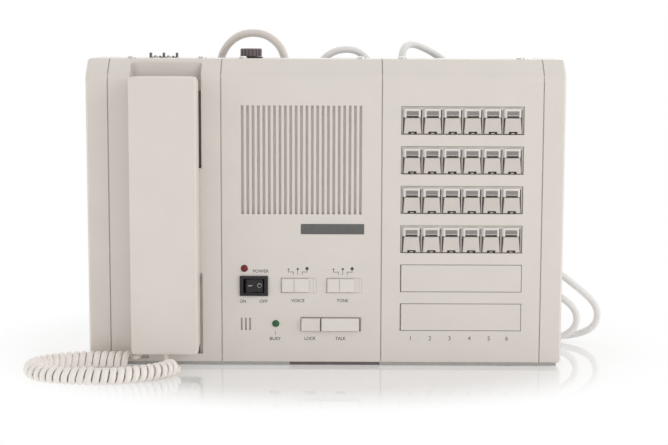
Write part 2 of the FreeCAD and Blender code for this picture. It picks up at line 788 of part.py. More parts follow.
def handset_back_shell():
    """Grip, with the ear and mouth bosses that sit in the cradle's pockets."""
    body = new_body("handset_back_shell")
    grip = sketch(body, "grip_side", "YZ", [[
        ("-handsetProud + handsetSplit", "handsetLow"),
        ("-handsetProud + handsetSplit", "handsetHigh"),
        ("-handsetGap - handsetRound", "handsetHigh"),
        ("-handsetGap", "handsetHigh - handsetRound"),
        ("-handsetGap", "handsetLow + handsetRound"),
        ("-handsetGap - handsetRound", "handsetLow"),
    ]])
    extrude(body, "Pad", grip, "handsetWidth", "both")
    dress(body, "Chamfer", "grip_edges", "handsetRound",
          lambda edge: lies(edge, y=-number("handsetGap")) and runs(edge, "z"))
    bosses = sketch(body, "boss_sides", "YZ", [
        [
            ("-handsetGap - handsetRound", "earBossLow - bossSlope"),
            ("-handsetGap - handsetRound", "earBossHigh"),
            ("earPocketDepth - fit", "earBossHigh - bossSlope"),
            ("earPocketDepth - fit", "earBossLow"),
        ],
        [
            ("-handsetGap - handsetRound", "handsetLow + handsetRound"),
            ("-handsetGap - handsetRound", "mouthBossHigh + mouthBossRamp"),
            ("mouthPocketDepth - fit", "mouthBossHigh"),
            ("mouthPocketDepth - fit", "handsetLow + handsetRound"),
        ],
    ])
    extrude(body, "Pad", bosses, "(handsetWidth - 2 * bossInset)", "both")
    dress(body, "Fillet", "boss_corners", "bossRound",
          lambda edge: runs(edge, "y") or edge.BoundBox.YLength > 10 and edge.BoundBox.XLength < 0.01
          and edge.BoundBox.YMin > -number("handsetGap") - 0.01)
    seat = "-handsetGap - handsetRound"
    hollow = sketch(body, "grip_hollow", "XZ", lift="handsetProud - handsetSplit", loops=[rectangle(
        "-handsetWidth / 2 + handsetShell", "handsetWidth / 2 - handsetShell",
        "handsetLow + handsetShell", "handsetHigh - handsetShell",
    )])
    extrude(body, "Pocket", hollow, "handsetProud - handsetSplit - handsetGap - handsetRound")
    for name, low, high, depth in (
        ("ear", "earBossLow + handsetShell", "earBossHigh - bossSlope - handsetShell",
         "earPocketDepth"),
        ("mouth", "handsetLow + handsetRound + handsetShell", "mouthBossHigh - handsetShell",
         "mouthPocketDepth"),
    ):
        cavity = sketch(body, f"{name}_cavity", "XZ", lift=f"-({seat} - 1)", loops=[rectangle(
            "-handsetWidth / 2 + bossInset + bossRound", "handsetWidth / 2 - bossInset - bossRound",
            low, high,
        )])
        extrude(body, "Pocket", cavity, f"{depth} - fit - handsetShell - ({seat} - 1)")
        middle = f"(({low} + {high}) / 2)"
        ring = [
            (f"soundRing * cos({60 * step})", f"{middle} + soundRing * sin({60 * step})", "soundHole")
            for step in range(6)
        ]
        holes = sketch(body, f"{name}_sound_holes", "XZ", lift=f"-({depth} - fit)",
                       circles=ring + [("0", middle, "soundHole")])
        extrude(body, "Pocket", holes, "handsetShell * 2", "back")
    node(body, "handset_back_shell", f"{HANDSET_X} + handsetShift")


def hook_plunger():
    back = "(mouthPocketDepth + wall + fit + hookTravel)"
    pin = rod("hook_pin", "0", "mouthPocketDepth", "hookHeight", "hookDiameter", "hookLength", BACK)
    collar = rod("hook_collar", "0", back, "hookHeight", "hookCollar", "hookCollarThick", BACK)
    node(fuse("hook_plunger_solid", [pin, collar]), "hook_plunger", HANDSET_X)


# ---- loudspeaker ----


def loudspeaker():
    inner = "(speakerDiameter - 2 * speakerRim)"
    front = "wall + clothThick"
    behind_rim = f"{front} + speakerRimThick"
    rim = rod("speaker_rim", "0", front, "speakerHeight", "speakerDiameter", "speakerRimThick", BACK)
    basket = taper("basket", "0", behind_rim, "speakerHeight",
                   f"{inner} + 2 * sheet", "basketBack", "basketDepth", BACK)
    magnet = rod("magnet", "0", f"{behind_rim} + basketDepth", "speakerHeight",
                 "magnetDiameter", "magnetDepth", BACK)
    mouth = rod("speaker_mouth", "0", f"{front} - 1", "speakerHeight", inner, "speakerRimThick + 1", BACK)
    hollow = taper("basket_hollow", "0", behind_rim, "speakerHeight",
                   inner, "basketBack - 2 * sheet", "basketDepth - sheet", BACK)
    frame = cut("speaker_frame_solid", fuse("speaker_frame_outside", [rim, basket, magnet]),
                fuse("speaker_frame_inside", [mouth, hollow]))
    node(frame, "speaker_frame", SPEAKER_X)
    edge = f"({inner} - 2 * fit)"
    cone = taper("cone_outside", "0", f"{front} + fit", "speakerHeight",
                 edge, "dustCap", "coneDepth", BACK)
    cone_hollow = taper("cone_inside", "0", f"{front} + fit - coneThick", "speakerHeight",
                        edge, "dustCap", "coneDepth", BACK)
    cap = taper("dust_cap", "0", f"{front} + fit + coneDepth - dustCapHeight - coneThick",
                "speakerHeight", "dustCap / 2", "dustCap", "dustCapHeight", BACK)
    shell = cut("cone_shell", cone, cone_hollow)
    node(fuse("speaker_cone_solid", [shell, cap]), "speaker_cone", SPEAKER_X)


# ---- control panel ----


def lamp(name, place, height):
    """Dome lamp pushed through the panel from behind until its rim stops it."""
    barrel = rod(f"{name}_barrel", place, "-lampProud + lampDiameter / 2", height, "lampDiameter",
                 "lampLength", BACK)
    rim = rod(f"{name}_rim", place, "wall", height, "lampRim", "lampRimThick", BACK)
    dome = document.addObject("Part::Sphere", f"{name}_dome")
    set_place(dome, place, "-lampProud + lampDiameter / 2", height)
    dome.setExpression("Radius", formula("lampDiameter / 2"))
    node(fuse(f"{name}_solid", [barrel, rim, dome]), name, SPEAKER_X)


def rocker_switch():
    body_width = "(bezelWidth - 2 * bezelLip)"
    body_tall = "(bezelTall - 2 * bezelLip)"
    low = "rockerHeight - {} / 2"
    bezel = block("bezel_plate", "rockerPlace - bezelWidth / 2", "-bezelProud",
                  low.format("bezelTall"),
                  "bezelWidth", "bezelProud", "bezelTall")
    case = block("switch_case", f"rockerPlace - {body_width} / 2", "0", low.format(body_tall),
                 body_width, "bezelBodyDepth", body_tall)
    cavity = block("rocker_cavity", "rockerPlace - rockerOpenWidth / 2", "-bezelProud",
                   low.format("rockerOpenTall"), "rockerOpenWidth", "rockerCavity", "rockerOpenTall")
    pin_length = "(rockerOpenTall + rockerPinReach * 2)"
    bore = rod("pin_bore", "rockerPlace", "rockerPivotDepth", low.format(pin_length),
               "rockerPin + pinFit * 2", pin_length)
    bezel_solid = cut("rocker_bezel_solid", fuse("rocker_bezel_outside", [bezel, case]),
                      fuse("rocker_bezel_inside", [cavity, bore]))
    node(bezel_solid, "rocker_bezel", SPEAKER_X)

    tall = "(rockerOpenTall - 2 * fit)"
    radius = "(rockerOpenWidth / 2 - fit)"
    drum = rod("rocker_drum", "rockerPlace", "rockerPivotDepth", low.format(tall), f"2 * {radius}", tall)
    saddle_x = "rockerPlace + rockerSaddle * sin(rockerTilt)"
    saddle_y = "rockerPivotDepth - rockerSaddle * cos(rockerTilt)"
    reach = "rockerOpenWidth"
    flat = block("rocker_flat_side", saddle_x, f"{saddle_y} - {reach}", low.format("rockerOpenTall"),
                 reach, reach, "rockerOpenTall")
    raised = document.addObject("Part::Box", "rocker_raised_side")
    raised.setExpression("Length", formula(reach))
    raised.setExpression("Width", formula(reach))
    raised.setExpression("Height", formula("rockerOpenTall"))
    raised.Placement.Rotation = FreeCAD.Rotation(Vector(0, 0, 1), 180)
    raised.setExpression("Placement.Rotation.Angle", formula("180 + 2 * rockerTilt"))
    set_place(raised, saddle_x, saddle_y, low.format("rockerOpenTall"))
    behind = block("rocker_behind", f"rockerPlace - {reach}", "rockerPivotDepth + rockerBack",
                   low.format("rockerOpenTall"), f"2 * {reach}", reach, "rockerOpenTall")
    faces = cut("rocker_faces", drum, fuse("rocker_cuts", [flat, raised, behind]))
    short_pin = f"({pin_length} - 2 * pinFit)"
    pin = rod("rocker_pin", "rockerPlace", "rockerPivotDepth", low.format(short_pin), "rockerPin", short_pin)
    node(fuse("power_rocker_solid", [faces, pin]), "power_rocker", SPEAKER_X)


def slide_switches():
    switches = []
    for name, place in (("voice", "voicePlace"), ("tone", "tonePlace")):
        plate = block(f"{name}_plate", f"{place} - sliderWindowWidth / 2 - sliderPlateLip", "wall",
                      "sliderHeight - sliderWindowTall / 2 - sliderPlateLip",
                      "sliderWindowWidth + 2 * sliderPlateLip", "sliderPlate",
                      "sliderWindowTall + 2 * sliderPlateLip")
        raised = block(f"{name}_raised_face", f"{place} - sliderWindowWidth / 2 + fit", "sliderRecess",
                       "sliderHeight - sliderWindowTall / 2 + fit",
                       "sliderWindowWidth - fit - sliderEndGap", "wall - sliderRecess",
                       "sliderWindowTall - 2 * fit")
        case = block(f"{name}_case", f"{place} - sliderKnobWidth / 2", "wall + sliderPlate",
                     "sliderHeight - sliderKnobTall / 2", "sliderKnobWidth", "sliderBodyDepth",
                     "sliderKnobTall")
        slot = block(f"{name}_slot", f"{place} - (sliderTravel + sliderStem) / 2 - fit", "sliderRecess",
                     "sliderHeight - sliderStem / 2 - fit", "sliderTravel + sliderStem + 2 * fit",
                     "wall - sliderRecess + sliderPlate + sliderBodyDepth - sheet", "sliderStem + 2 * fit")
        outside = fuse(f"{name}_switch_outside", [plate, raised, case])
        switches.append(cut(f"{name}_switch", outside, slot))
    node(group("slide_switch_group", switches), "slide_switches", SPEAKER_X)


def slider_knob(name, place):
    body = new_body(name)
    face = sketch(body, f"{name}_face", "XZ", [centred("0", "0", "sliderKnobWidth", "sliderKnobTall")],
                  lift="-(sliderRecess - fit)")
    extrude(body, "Pad", face, "sliderKnobProud + sliderRecess - fit")
    front = -number("sliderKnobProud")
    dress(body, "Fillet", f"{name}_rim", "sliderRound", lambda edge: lies(edge, y=front))
    line = sketch(body, f"{name}_line", "XZ", lift="sliderKnobProud",
                  loops=[centred("sliderLinePlace", "0", "sliderLine", "sliderKnobTall")])
    extrude(body, "Pocket", line, "sliderLine")
    stem = sketch(body, f"{name}_stem", "XZ", [centred("0", "0", "sliderStem", "sliderStem")],
                  lift="-(sliderRecess - fit)")
    extrude(body, "Pad", stem, "wall - sliderRecess + sliderBodyDepth - sheet", "back")
    node(body, name, f"{SPEAKER_X} + {place} - sliderTravel / 2", "0", "sliderHeight")


def push_button(name, left, width):
    """Cap with a lip above and below that stops behind the panel, and a stem to its switch."""
    body = new_body(name)
    face = sketch(body, f"{name}_face", "XZ", [centred("0", "0", width, "buttonTall")], lift="buttonProud")
    extrude(body, "Pad", face, "buttonThick", "back")
    front = -number("buttonProud")
    dress(body, "Fillet", f"{name}_rim", "buttonRound", lambda edge: lies(edge, y=front))
    lip = sketch(body, f"{name}_lip", "XZ", lift="-(wall + fit)",
                 loops=[centred("0", "0", width, "(buttonOpenTall + 2 * buttonLip)")])
    extrude(body, "Pad", lip, "buttonThick - buttonProud - wall", "back")
    stem = sketch(body, f"{name}_stem", "XZ", lift="-(wall + fit)",
                  loops=[centred("0", "0", "buttonStem", "buttonStem")])
    extrude(body, "Pad", stem, "buttonStemLength", "back")
    node(body, name, f"{SPEAKER_X} + {left} + {width} / 2", "0", "buttonHeight")


# ---- selector panel ----


def key_frames():
    """Four open trays behind the windows, each with six lamp housings standing in it."""
    body = new_body("key_frames")
    low = f"(windowLow + {BLANK_ROWS} * windowPitch)"
    first = f"(-keyPitch * {KEY_COLUMNS - 1} / 2)"
    tray = sketch(body, "tray", "XZ", lift="-wall", loops=[rectangle(
        f"-{WINDOW_WIDTH} / 2 - trayLip", f"{WINDOW_WIDTH} / 2 + trayLip",
        f"{low} - trayLip", f"{low} + windowTall + trayLip",
    )])
    extrude(body, "Pad", tray, "trayDepth", "back")
    hollow = sketch(body, "tray_hollow", "XZ", lift="-wall", loops=[rectangle(
        f"-{WINDOW_WIDTH} / 2", f"{WINDOW_WIDTH} / 2", low, f"{low} + windowTall"
    )])
    extrude(body, "Pocket", hollow, "trayDepth - trayFloor")
    house = sketch(body, "lamp_house", "XZ", lift="-(wall + trayDepth - trayFloor)", loops=[rectangle(
        f"{first} - lampHouseWidth / 2", f"{first} + lampHouseWidth / 2",
        f"{low} + lampHouseLow", f"{low} + lampHouseHigh",
    )])
    repeat(body, extrude(body, "Pad", house, "wall + trayDepth - trayFloor + lampHouseProud"),
           "X", "keyPitch", str(KEY_COLUMNS))
    slit = sketch(body, "lamp_house_slit", "XZ", lift="lampHouseProud", loops=[rectangle(
        f"{first} - lensWidth / 2", f"{first} + lensWidth / 2",
        f"{low} + lampHouseLow - fit", f"{low} + lensLow",
    )])
    repeat(body, extrude(body, "Pocket", slit, "wall + trayDepth - trayFloor + lampHouseProud"),
           "X", "keyPitch", str(KEY_COLUMNS))
    header = sketch(body, "cell_header", "XZ", lift="-(wall + trayDepth - trayFloor)", loops=[rectangle(
        f"-{WINDOW_WIDTH} / 2 + fit", f"{WINDOW_WIDTH} / 2 - fit",
        f"{low} + lampHouseHigh - cellWall", f"{low} + windowTall - fit",
    )])
    extrude(body, "Pad", header, "wall + trayDepth - trayFloor - cellHeaderBack")
    divider = sketch(body, "cell_divider", "XZ", lift="-(wall + trayDepth - trayFloor)", loops=[rectangle(
        f"{first} + (keyPitch - cellWall) / 2", f"{first} + (keyPitch + cellWall) / 2",
        f"{low} + fit", f"{low} + windowTall - fit",
    )])
    repeat(body, extrude(body, "Pad", divider, "wall + trayDepth - trayFloor - cellWallBack"),
           "X", "keyPitch", str(KEY_COLUMNS - 1))
    outer = f"({WINDOW_WIDTH} / 2 - fit)"
    inner = f"(keyPitch * {KEY_COLUMNS} - cellWall) / 2"
    ends = sketch(body, "cell_ends", "XZ", lift="-(wall + trayDepth - trayFloor)", loops=[
        rectangle(f"{side} * {outer}", f"{side} * {inner}", f"{low} + fit", f"{low} + windowTall - fit")
        for side in (-1, 1)
    ])
    extrude(body, "Pad", ends, "wall + trayDepth - trayFloor - cellWallBack")
    seat = sketch(body, "lens_seat", "XZ", lift="lampHouseProud", loops=[centred(
        first, f"{low} + lensLow + lensTall / 2", "lensWidth", "lensTall"
    )])
    repeat(body, extrude(body, "Pocket", seat, "lensDepth"), "X", "keyPitch", str(KEY_COLUMNS))
    opening = sketch(body, "stem_hole", "XZ", lift="-wall", loops=[centred(
        first, f"{low} + keyLow + keyStemLow + keyStemTall / 2",
        "(keyStemWidth + 2 * fit)", "(keyStemTall + 2 * fit)",
    )])
    last = repeat(body, extrude(body, "Pocket", opening, "trayDepth * 2"), "X", "keyPitch", str(KEY_COLUMNS))
    repeat(body, last, "Z", "windowPitch", str(KEY_ROWS), whole=True)
    node(body, "key_frames", SELECTOR_X)


def lamp_lenses():
    body = new_body("lamp_lenses")
    low = f"(windowLow + {BLANK_ROWS} * windowPitch + lensLow)"
    first = f"(-keyPitch * {KEY_COLUMNS - 1} / 2)"
    face = sketch(body, "lens", "XZ", lift="-(lensDepth - lampHouseProud)",
                  loops=[centred(first, f"{low} + lensTall / 2", "lensWidth", "lensTall")])
    extrude(body, "Pad", face, "lensDepth + lensProud")
    grooves = sketch(body, "lens_grooves", "XZ", lift="lampHouseProud + lensProud", loops=[
        centred(first, f"{low} + lensTall * {place} / {LENS_GROOVES + 1}", "lensWidth", "lensGroove")
        for place in range(1, LENS_GROOVES + 1)
    ])
    grooved = extrude(body, "Pocket", grooves, "lensGroove")
    last = repeat(body, grooved, "X", "keyPitch", str(KEY_COLUMNS), whole=True)
    repeat(body, last, "Z", "windowPitch", str(KEY_ROWS), whole=True)
    node(body, "lamp_lenses", SELECTOR_X)


def keys():
    """One key, and its twins in the other places of the grid."""
    body = new_body("key")
    face = sketch(body, "key_face", "XZ", lift="keyProud", loops=[[
        ("-keyFootWidth / 2", "keyLow"),
        ("-keyTopWidth / 2", "keyHigh"),
        ("keyTopWidth / 2", "keyHigh"),
        ("keyFootWidth / 2", "keyLow"),
    ]])
    extrude(body, "Pad", face, "keyThick", "back")
    front = -number("keyProud")
    dress(body, "Chamfer", "key_edge", "keyEdge", lambda edge: lies(edge, y=front))
    notch = sketch(body, "key_notch", "XZ", lift="keyProud", loops=[[
        ("-keyNotchWidth / 2", "keyLow - 1"),
        ("-keyNotchWidth / 2", "keyLow + keyNotchTall"),
        ("keyNotchWidth / 2", "keyLow + keyNotchTall"),
        ("keyNotchWidth / 2", "keyLow - 1"),
        ("keyTongueWidth / 2", "keyLow - 1"),
        ("keyTongueWidth / 2", "keyLow + keyTongueTall"),
        ("-keyTongueWidth / 2", "keyLow + keyTongueTall"),
        ("-keyTongueWidth / 2", "keyLow - 1"),
    ]])
    extrude(body, "Pocket", notch, "keyNotchDepth")
    stem = sketch(body, "key_stem", "XZ", lift="-(keyThick - keyProud)", loops=[
        centred("0", "keyLow + keyStemLow + keyStemTall / 2", "keyStemWidth", "keyStemTall")
    ])
    extrude(body, "Pad", stem, "keyStemLength", "back")
    for row in range(1, KEY_ROWS + 1):
        for column in range(1, KEY_COLUMNS + 1):
            place = f"{SELECTOR_X} + keyPitch * ({column} - {KEY_COLUMNS + 1} / 2)"
            item = body
            if (row, column) != (1, 1):
                item = document.addObject("App::Link", f"key_link_{row}_{column}")
                item.LinkedObject = body
            node(item, f"key_r{row}_c{column}", place, "0",
                 f"windowLow + windowPitch * ({KEY_ROWS + BLANK_ROWS} - {row})")


def blank_plates():
    """Plain plates clipped into the windows that hold no keys."""
    plates = []
    for row in range(BLANK_ROWS):
        low = f"(windowLow + windowPitch * {row})"
        face = block(f"plate_face_{row}", f"-{WINDOW_WIDTH} / 2 + plateGapLeft", "0", f"{low} + plateGap",
                     f"{WINDOW_WIDTH} - plateGapLeft - plateGap", "wall", "windowTall - 2 * plateGap")
        rear = block(f"plate_rear_{row}", f"-{WINDOW_WIDTH} / 2 - trayLip", "wall", f"{low} - trayLip",
                     f"{WINDOW_WIDTH} + 2 * trayLip", "plateRear", "windowTall + 2 * trayLip")
        plates.append(fuse(f"plate_{row}", [face, rear]))
    node(group("blank_plate_group", plates), "blank_plates", SELECTOR_X)


# ---- inside and on top ----


def standoffs(name, x, spread, tall, depth):
    """Four posts that carry a board behind the front panel."""
    return [
        rod(f"{name}_post_{count + 1}", f"{x} + {side} * ({spread} / 2 - postInset)", "wall",
            f"boardLow + postInset + {level} * ({tall} - 2 * postInset)", "boardPost",
            f"{depth} - wall", BACK)
        for count, (side, level) in enumerate(((-1, 0), (1, 0), (-1, 1), (1, 1)))
    ]


def circuit_boards():
    control = block("control_board", f"{SPEAKER_X} - controlBoardWidth / 2", "controlBoardDepth", "boardLow",
                    "controlBoardWidth", "boardThick", "controlBoardTall")
    front = "(wall + 2 * fit + buttonStemLength + buttonTravel)"
    blocks = [
        block(f"{name}_push_switch", f"{SPEAKER_X} + {left} + {width} / 2 - switchBlockWidth / 2",
              front, "buttonHeight - switchBlockWidth / 2",
              "switchBlockWidth", f"controlBoardDepth - {front}", "switchBlockWidth")
        for name, left, width in (("lock", LOCK_LEFT, "lockWidth"), ("talk", TALK_LEFT, "talkWidth"))
    ]
    control_posts = standoffs("control", SPEAKER_X, "controlBoardWidth", "controlBoardTall",
                              "controlBoardDepth")
    wide = f"({WINDOW_WIDTH} + 2 * selectorBoardBeyond)"
    selector = block("selector_board", f"{SELECTOR_X} - {wide} / 2", "selectorBoardDepth",
                     "boardLow", wide, "boardThick", "selectorBoardTall")
    selector_posts = standoffs("selector", SELECTOR_X, wide, "selectorBoardTall",
                               "selectorBoardDepth")
    boards = group("board_group", [
        fuse("control_board_assembly", [control] + blocks + control_posts),
        fuse("selector_board_assembly", [selector] + selector_posts),
    ])
    node(boards, "circuit_boards")


def terminal_strip():
    wide = "(2 * terminalPitch + barrierThick)"
    base = block("terminal_base", f"terminalPlace - {wide} / 2", "terminalRow - terminalDepth / 2",
                 "casingHeight - terminalBase", wide, "terminalDepth", "terminalBase")
    barriers = [
        block(f"barrier_{step + 1}", f"terminalPlace + {step} * terminalPitch - barrierThick / 2",
              "terminalRow - terminalDepth / 2", "casingHeight", "barrierThick", "terminalDepth",
              "barrierProud")
        for step in (-1, 0, 1)
    ]
    node(fuse("terminal_strip_solid", [base] + barriers), "terminal_strip", HANDSET_X)


def fuse_holder():
    neck = rod("fuse_neck", "fusePlace", "fuseRow", "casingHeight - fuseBodyLength", "fuseNeck",
               "fuseBodyLength")
    flange = rod("fuse_flange", "fusePlace", "fuseRow", "casingHeight", "fuseFlange",
                 "fuseFlangeHeight")
    bore = rod("fuse_bore", "fusePlace", "fuseRow", "casingHeight - fuseStemLength - fit",
               "fuseStem + 2 * fit", "fuseStemLength + fit + fuseFlangeHeight")
    outside = fuse("fuse_holder_outside", [neck, flange])
    node(cut("fuse_holder_solid", outside, bore), "fuse_holder", SPEAKER_X)


def fuse_cap():
    """Fluted cap with a coin slot; its stem turns in the holder."""
    body = new_body("fuse_cap")
    base = sketch(body, "cap_circle", "XY", circles=[("0", "0", "fuseCapDiameter")])
    extrude(body, "Pad", base, "fuseCapHeight")
    top = number("fuseCapHeight")
    dress(body, "Fillet", "cap_rim", "fuseCapRound", lambda edge: lies(edge, z=top))
    flute = sketch(body, "flute", "XY", lift="fuseCapHeight - fuseCapRound",
                   loops=[centred("fuseCapDiameter / 2", "0", "fuseFluteWidth", "fuseFluteWidth")])
    cutter = extrude(body, "Pocket", flute, "fuseCapHeight")
    ring = body.newObject("PartDesign::PolarPattern", "flutes")
    ring.Originals = [cutter]
    ring.Axis = (origin_feature(body, "Z_Axis"), [""])
    ring.Angle = 360
    ring.setExpression("Occurrences", formula("fuseFlutes"))
    body.Tip = ring
    slot = sketch(body, "coin_slot", "XY", lift="fuseCapHeight",
                  loops=[centred("0", "0", "fuseSlotLength", "fuseSlotWidth")])
    extrude(body, "Pocket", slot, "fuseSlotWidth")
    stem = sketch(body, "cap_stem", "XY", circles=[("0", "0", "fuseStem")])
    extrude(body, "Pad", stem, "fuseStemLength", "back")
    node(body, "fuse_cap", f"{SPEAKER_X} + fusePlace", "fuseRow", "casingHeight + fuseFlangeHeight + fit")


def cord_outlets():
    """Reliefs on the rear ledge, and the jack under the handset."""
    outlets = []
    for name, x, foot, tip, length in (
        ("mains", "mainsOutlet", "mainsReliefFoot", "mainsReliefTip", "mainsRelief"),
        ("link_left", "linkOutletLeft", "cableOutletFoot", "cableOutletTip", "cableOutlet"),
        ("link_right", "linkOutletRight", "cableOutletFoot", "cableOutletTip", "cableOutlet"),
        ("station", "stationOutlet", "cableOutletFoot", "cableOutletTip", "cableOutlet"),
    ):
        relief = taper(f"{name}_relief", x, "outletRow", "ledgeHeight", foot, tip, length)
        neck = rod(f"{name}_neck", x, "outletRow", "ledgeHeight - outletNeckLength", "outletNeck",
                   "outletNeckLength")
        outlets.append(fuse(f"{name}_outlet", [relief, neck]))
    outlets.append(block("handset_jack", f"{HANDSET_X} + jackPlace - jackWidth / 2", "fit", "wall",
                         "jackWidth", "jackDepth", "jackHeight"))
    node(group("outlet_group", outlets), "cord_outlets")


# ---- cords ----


def path_wire(name, points, diameter):
    """Straight runs joined by arcs as large as the two runs at each corner allow."""
    edges = []
    start = points[0]
    radii = []
    for before, corner, after in zip(points, points[1:], points[2:]):
        back = (before - corner).normalize()
        ahead = (after - corner).normalize()
        half_turn = (math.pi - back.getAngle(ahead)) / 2
        reach = 0.45 * min(before.distanceToPoint(corner), after.distanceToPoint(corner))
        radius = reach / math.tan(half_turn)
        radii.append(radius)
        middle = (back + ahead).normalize() * (radius / math.cos(half_turn) - radius)
        edges.append(Part.LineSegment(start, corner + back * reach).toShape())
        start = corner + ahead * reach
        edges.append(Part.Arc(corner + back * reach, corner + middle, start).toShape())
    edges.append(Part.LineSegment(start, points[-1]).toShape())
    print(name, "radii in diameters:", [round(radius / diameter, 1) for radius in radii])
    return Part.Wire(edges)


def tube(name, route, diameter):
    points = [Vector(*[number(value) for value in point]) for point in route]
    path = document.addObject("Part::Feature", f"{name}_path")
    path.Shape = path_wire(name, points, number(diameter))
    section = document.addObject("Part::Circle", f"{name}_section")
    section.setExpression("Radius", formula(f"({diameter}) / 2"))
    along = FreeCAD.Rotation(Vector(0, 0, 1), points[1] - points[0])
    section.Placement = FreeCAD.Placement(points[0], along)
    item = document.addObject("Part::Sweep", f"{name}_tube")
    item.Sections = [section]
    item.Spine = (path, [f"Edge{count + 1}" for count in range(len(path.Shape.Edges))])
    item.Solid = True
    tubes.append(item)
    return item


def mains_cord():
    """Lead that rises over the rear edge, drops behind the casing and runs into its coil."""
    lead = tube("mains", [
        ("mainsOutlet", "outletRow", "ledgeHeight + mainsRelief"),
        (-30.4, 67, 230),
        (-46, 72, 247),
        (-69, 79, 247),
        (-84.5, 84.5, 231),
        (-85.7, 88, 204),
        (-84, 89.5, 165),
        (-85, 90, 120),
        (-88, 91, 76),
        (-91, 94, 40),
        (-98, 102, 14),
        ("coilPlaceX - coilEntryX", "coilPlaceY - coilEntryY", "mainsCord / 2 - footHeight"),
    ], "mainsCord")
    node(lead, "mains_cord")
    band = [
        rod(f"coil_{part}", "coilPlaceX", "coilPlaceY", "-footHeight", f"coilTurns {sign} coilBand",
            "coilTall")
        for part, sign in (("outside", "+"), ("inside", "-"))
    ]
    outer_turn = "(coilTurns + coilBand - mainsCord) / 2"
    tail = document.addObject("Part::Cylinder", "coil_tail")
    tail.Placement.Rotation = FreeCAD.Rotation(Vector(0, 0, 1), Vector(1, 0, 0))
    set_place(tail, "coilPlaceX", f"coilPlaceY + {outer_turn}", "mainsCord / 2 - footHeight")
    tail.setExpression("Radius", formula("mainsCord / 2"))
    tail.setExpression("Height", formula("coilTail"))
    node(fuse("mains_coil_solid", [cut("coil_ring", *band), tail]), "mains_coil")
    grip = block("plug_grip", "coilPlaceX + coilTail", f"coilPlaceY + {outer_turn} - plugWidth / 2",
                 "-footHeight", "plugLength", "plugWidth", "plugTall")
    pins = []
    for side in (-1, 1):
        pin = document.addObject("Part::Cylinder", f"plug_pin_{side + 2}")
        pin.Placement.Rotation = FreeCAD.Rotation(Vector(0, 0, 1), Vector(1, 0, 0))
        set_place(pin, "coilPlaceX + coilTail + plugLength",
                  f"coilPlaceY + {outer_turn} + {side} * plugPinPitch / 2", "plugTall / 2 - footHeight")
        pin.setExpression("Radius", formula("plugPin / 2"))
        pin.setExpression("Height", formula("plugPinLength"))
        pins.append(pin)
    node(fuse("mains_plug_solid", [grip] + pins), "mains_plug")


def link_cable():
    """Short bridge between two outlets, arched over the rear edge."""
    node(tube("link", [
        ("linkOutletLeft", "outletRow", "ledgeHeight + cableOutlet"),
        (-17, 66.7, 206),
        (-7.5, 67, 222),
        (6.2, 67.5, 234.5),
        (25.4, 67.5, 234.5),
        (35.9, 67, 221),
        (38.6, 66.7, 206),
        ("linkOutletRight", "outletRow", "ledgeHeight + cableOutlet"),
    ], "stationCable"), "link_cable")


def station_cable():
    """Limp cable that falls behind the casing into two standing loops, and its connector."""
    node(tube("station", [
        ("stationOutlet", "outletRow", "ledgeHeight + cableOutlet"),
        (57.3, 67, 209),
        (58.3, 69, 224.5),
        (60.3, 74, 236),
        (67, 81, 239.5),
        (80, 88, 234.5),
        (95, 94, 225),
        (109, 98, 211),
        (120.5, 100, 190),
        (131, 100, 163),
        (142.5, 99, 133),
        (151, 98, 105),
        (165, 96, 80),
        (181, 94, 61),
        (199, 91, 46.5),
        (212.5, 90, 36),
        (220.3, 89, 26.5),
        (221, 89, 15.5),
        (214.5, 91, 6.8),
        (200, 95, 1.8),
        (177, 100, -0.2),
        (157, 106, 3),
        (143, 111, 14),
        (141, 112, 31),
        (153, 107, 43),
        (172, 96, 44),
        (188.5, 87, 37),
        (201, 84, 27),
        (204, 83.3, 17),
        (200, 83.3, 8),
        (188, 84.4, 1.8),
        (170, 87, -0.2),
        ("stationPlugX", "stationPlugY", "stationCable / 2 - footHeight"),
    ], "stationCable"), "station_cable")
    shell = block("connector_shell", "stationPlugX - connectorLength", "stationPlugY - connectorWidth / 2",
                  "-footHeight", "connectorLength", "connectorWidth", "connectorTall")
    mouth = block("connector_mouth", "stationPlugX - connectorLength - connectorNose",
                  "stationPlugY - connectorWidth / 2 + sheet", "-footHeight + sheet",
                  "connectorNose", "connectorWidth - 2 * sheet", "connectorTall - 2 * sheet")
    node(fuse("station_plug_solid", [shell, mouth]), "station_plug")


def handset_cord():
    """Curly part as one fat tube on the table, with a thin lead at each end."""
    rest = "curlDiameter / 2 - footHeight"
    curl_start = (-147.5, -8.3, rest)
    curl_end = (-111.5, -32.5, rest)
    jack_lead = tube("jack_lead", [
        (f"{HANDSET_X} + jackPlace", "fit", "wall + jackHeight / 2"),
        (-139.6, -4.4, 5.4),
        (-142.8, -7.9, 4),
        curl_start,
    ], "curlLead")
    curl = tube("curl", [
        curl_start,
        (-177, -8.3, rest),
        (-200.5, -14.5, rest),
        (-215.5, -31, rest),
        (-213.5, -50.5, rest),
        (-196.5, -63, rest),
        (-173, -67.5, rest),
        (-150.5, -65.5, rest),
        (-130, -56, rest),
        (-116, -44, rest),
        curl_end,
    ], "curlDiameter")
    handset_lead = tube("handset_lead", [
        curl_end,
        (-110.2, -27.5, 2.6),
        (-112.6, -20.8, 1),
        (-117.4, -15.8, 1.6),
        (-119, -14.1, 5),
        (f"{HANDSET_X} + handsetShift", -14, "handsetLow - fit"),
    ], "curlLead")
    node(fuse("handset_cord_solid", [curl, jack_lead, handset_lead]), "handset_cord")


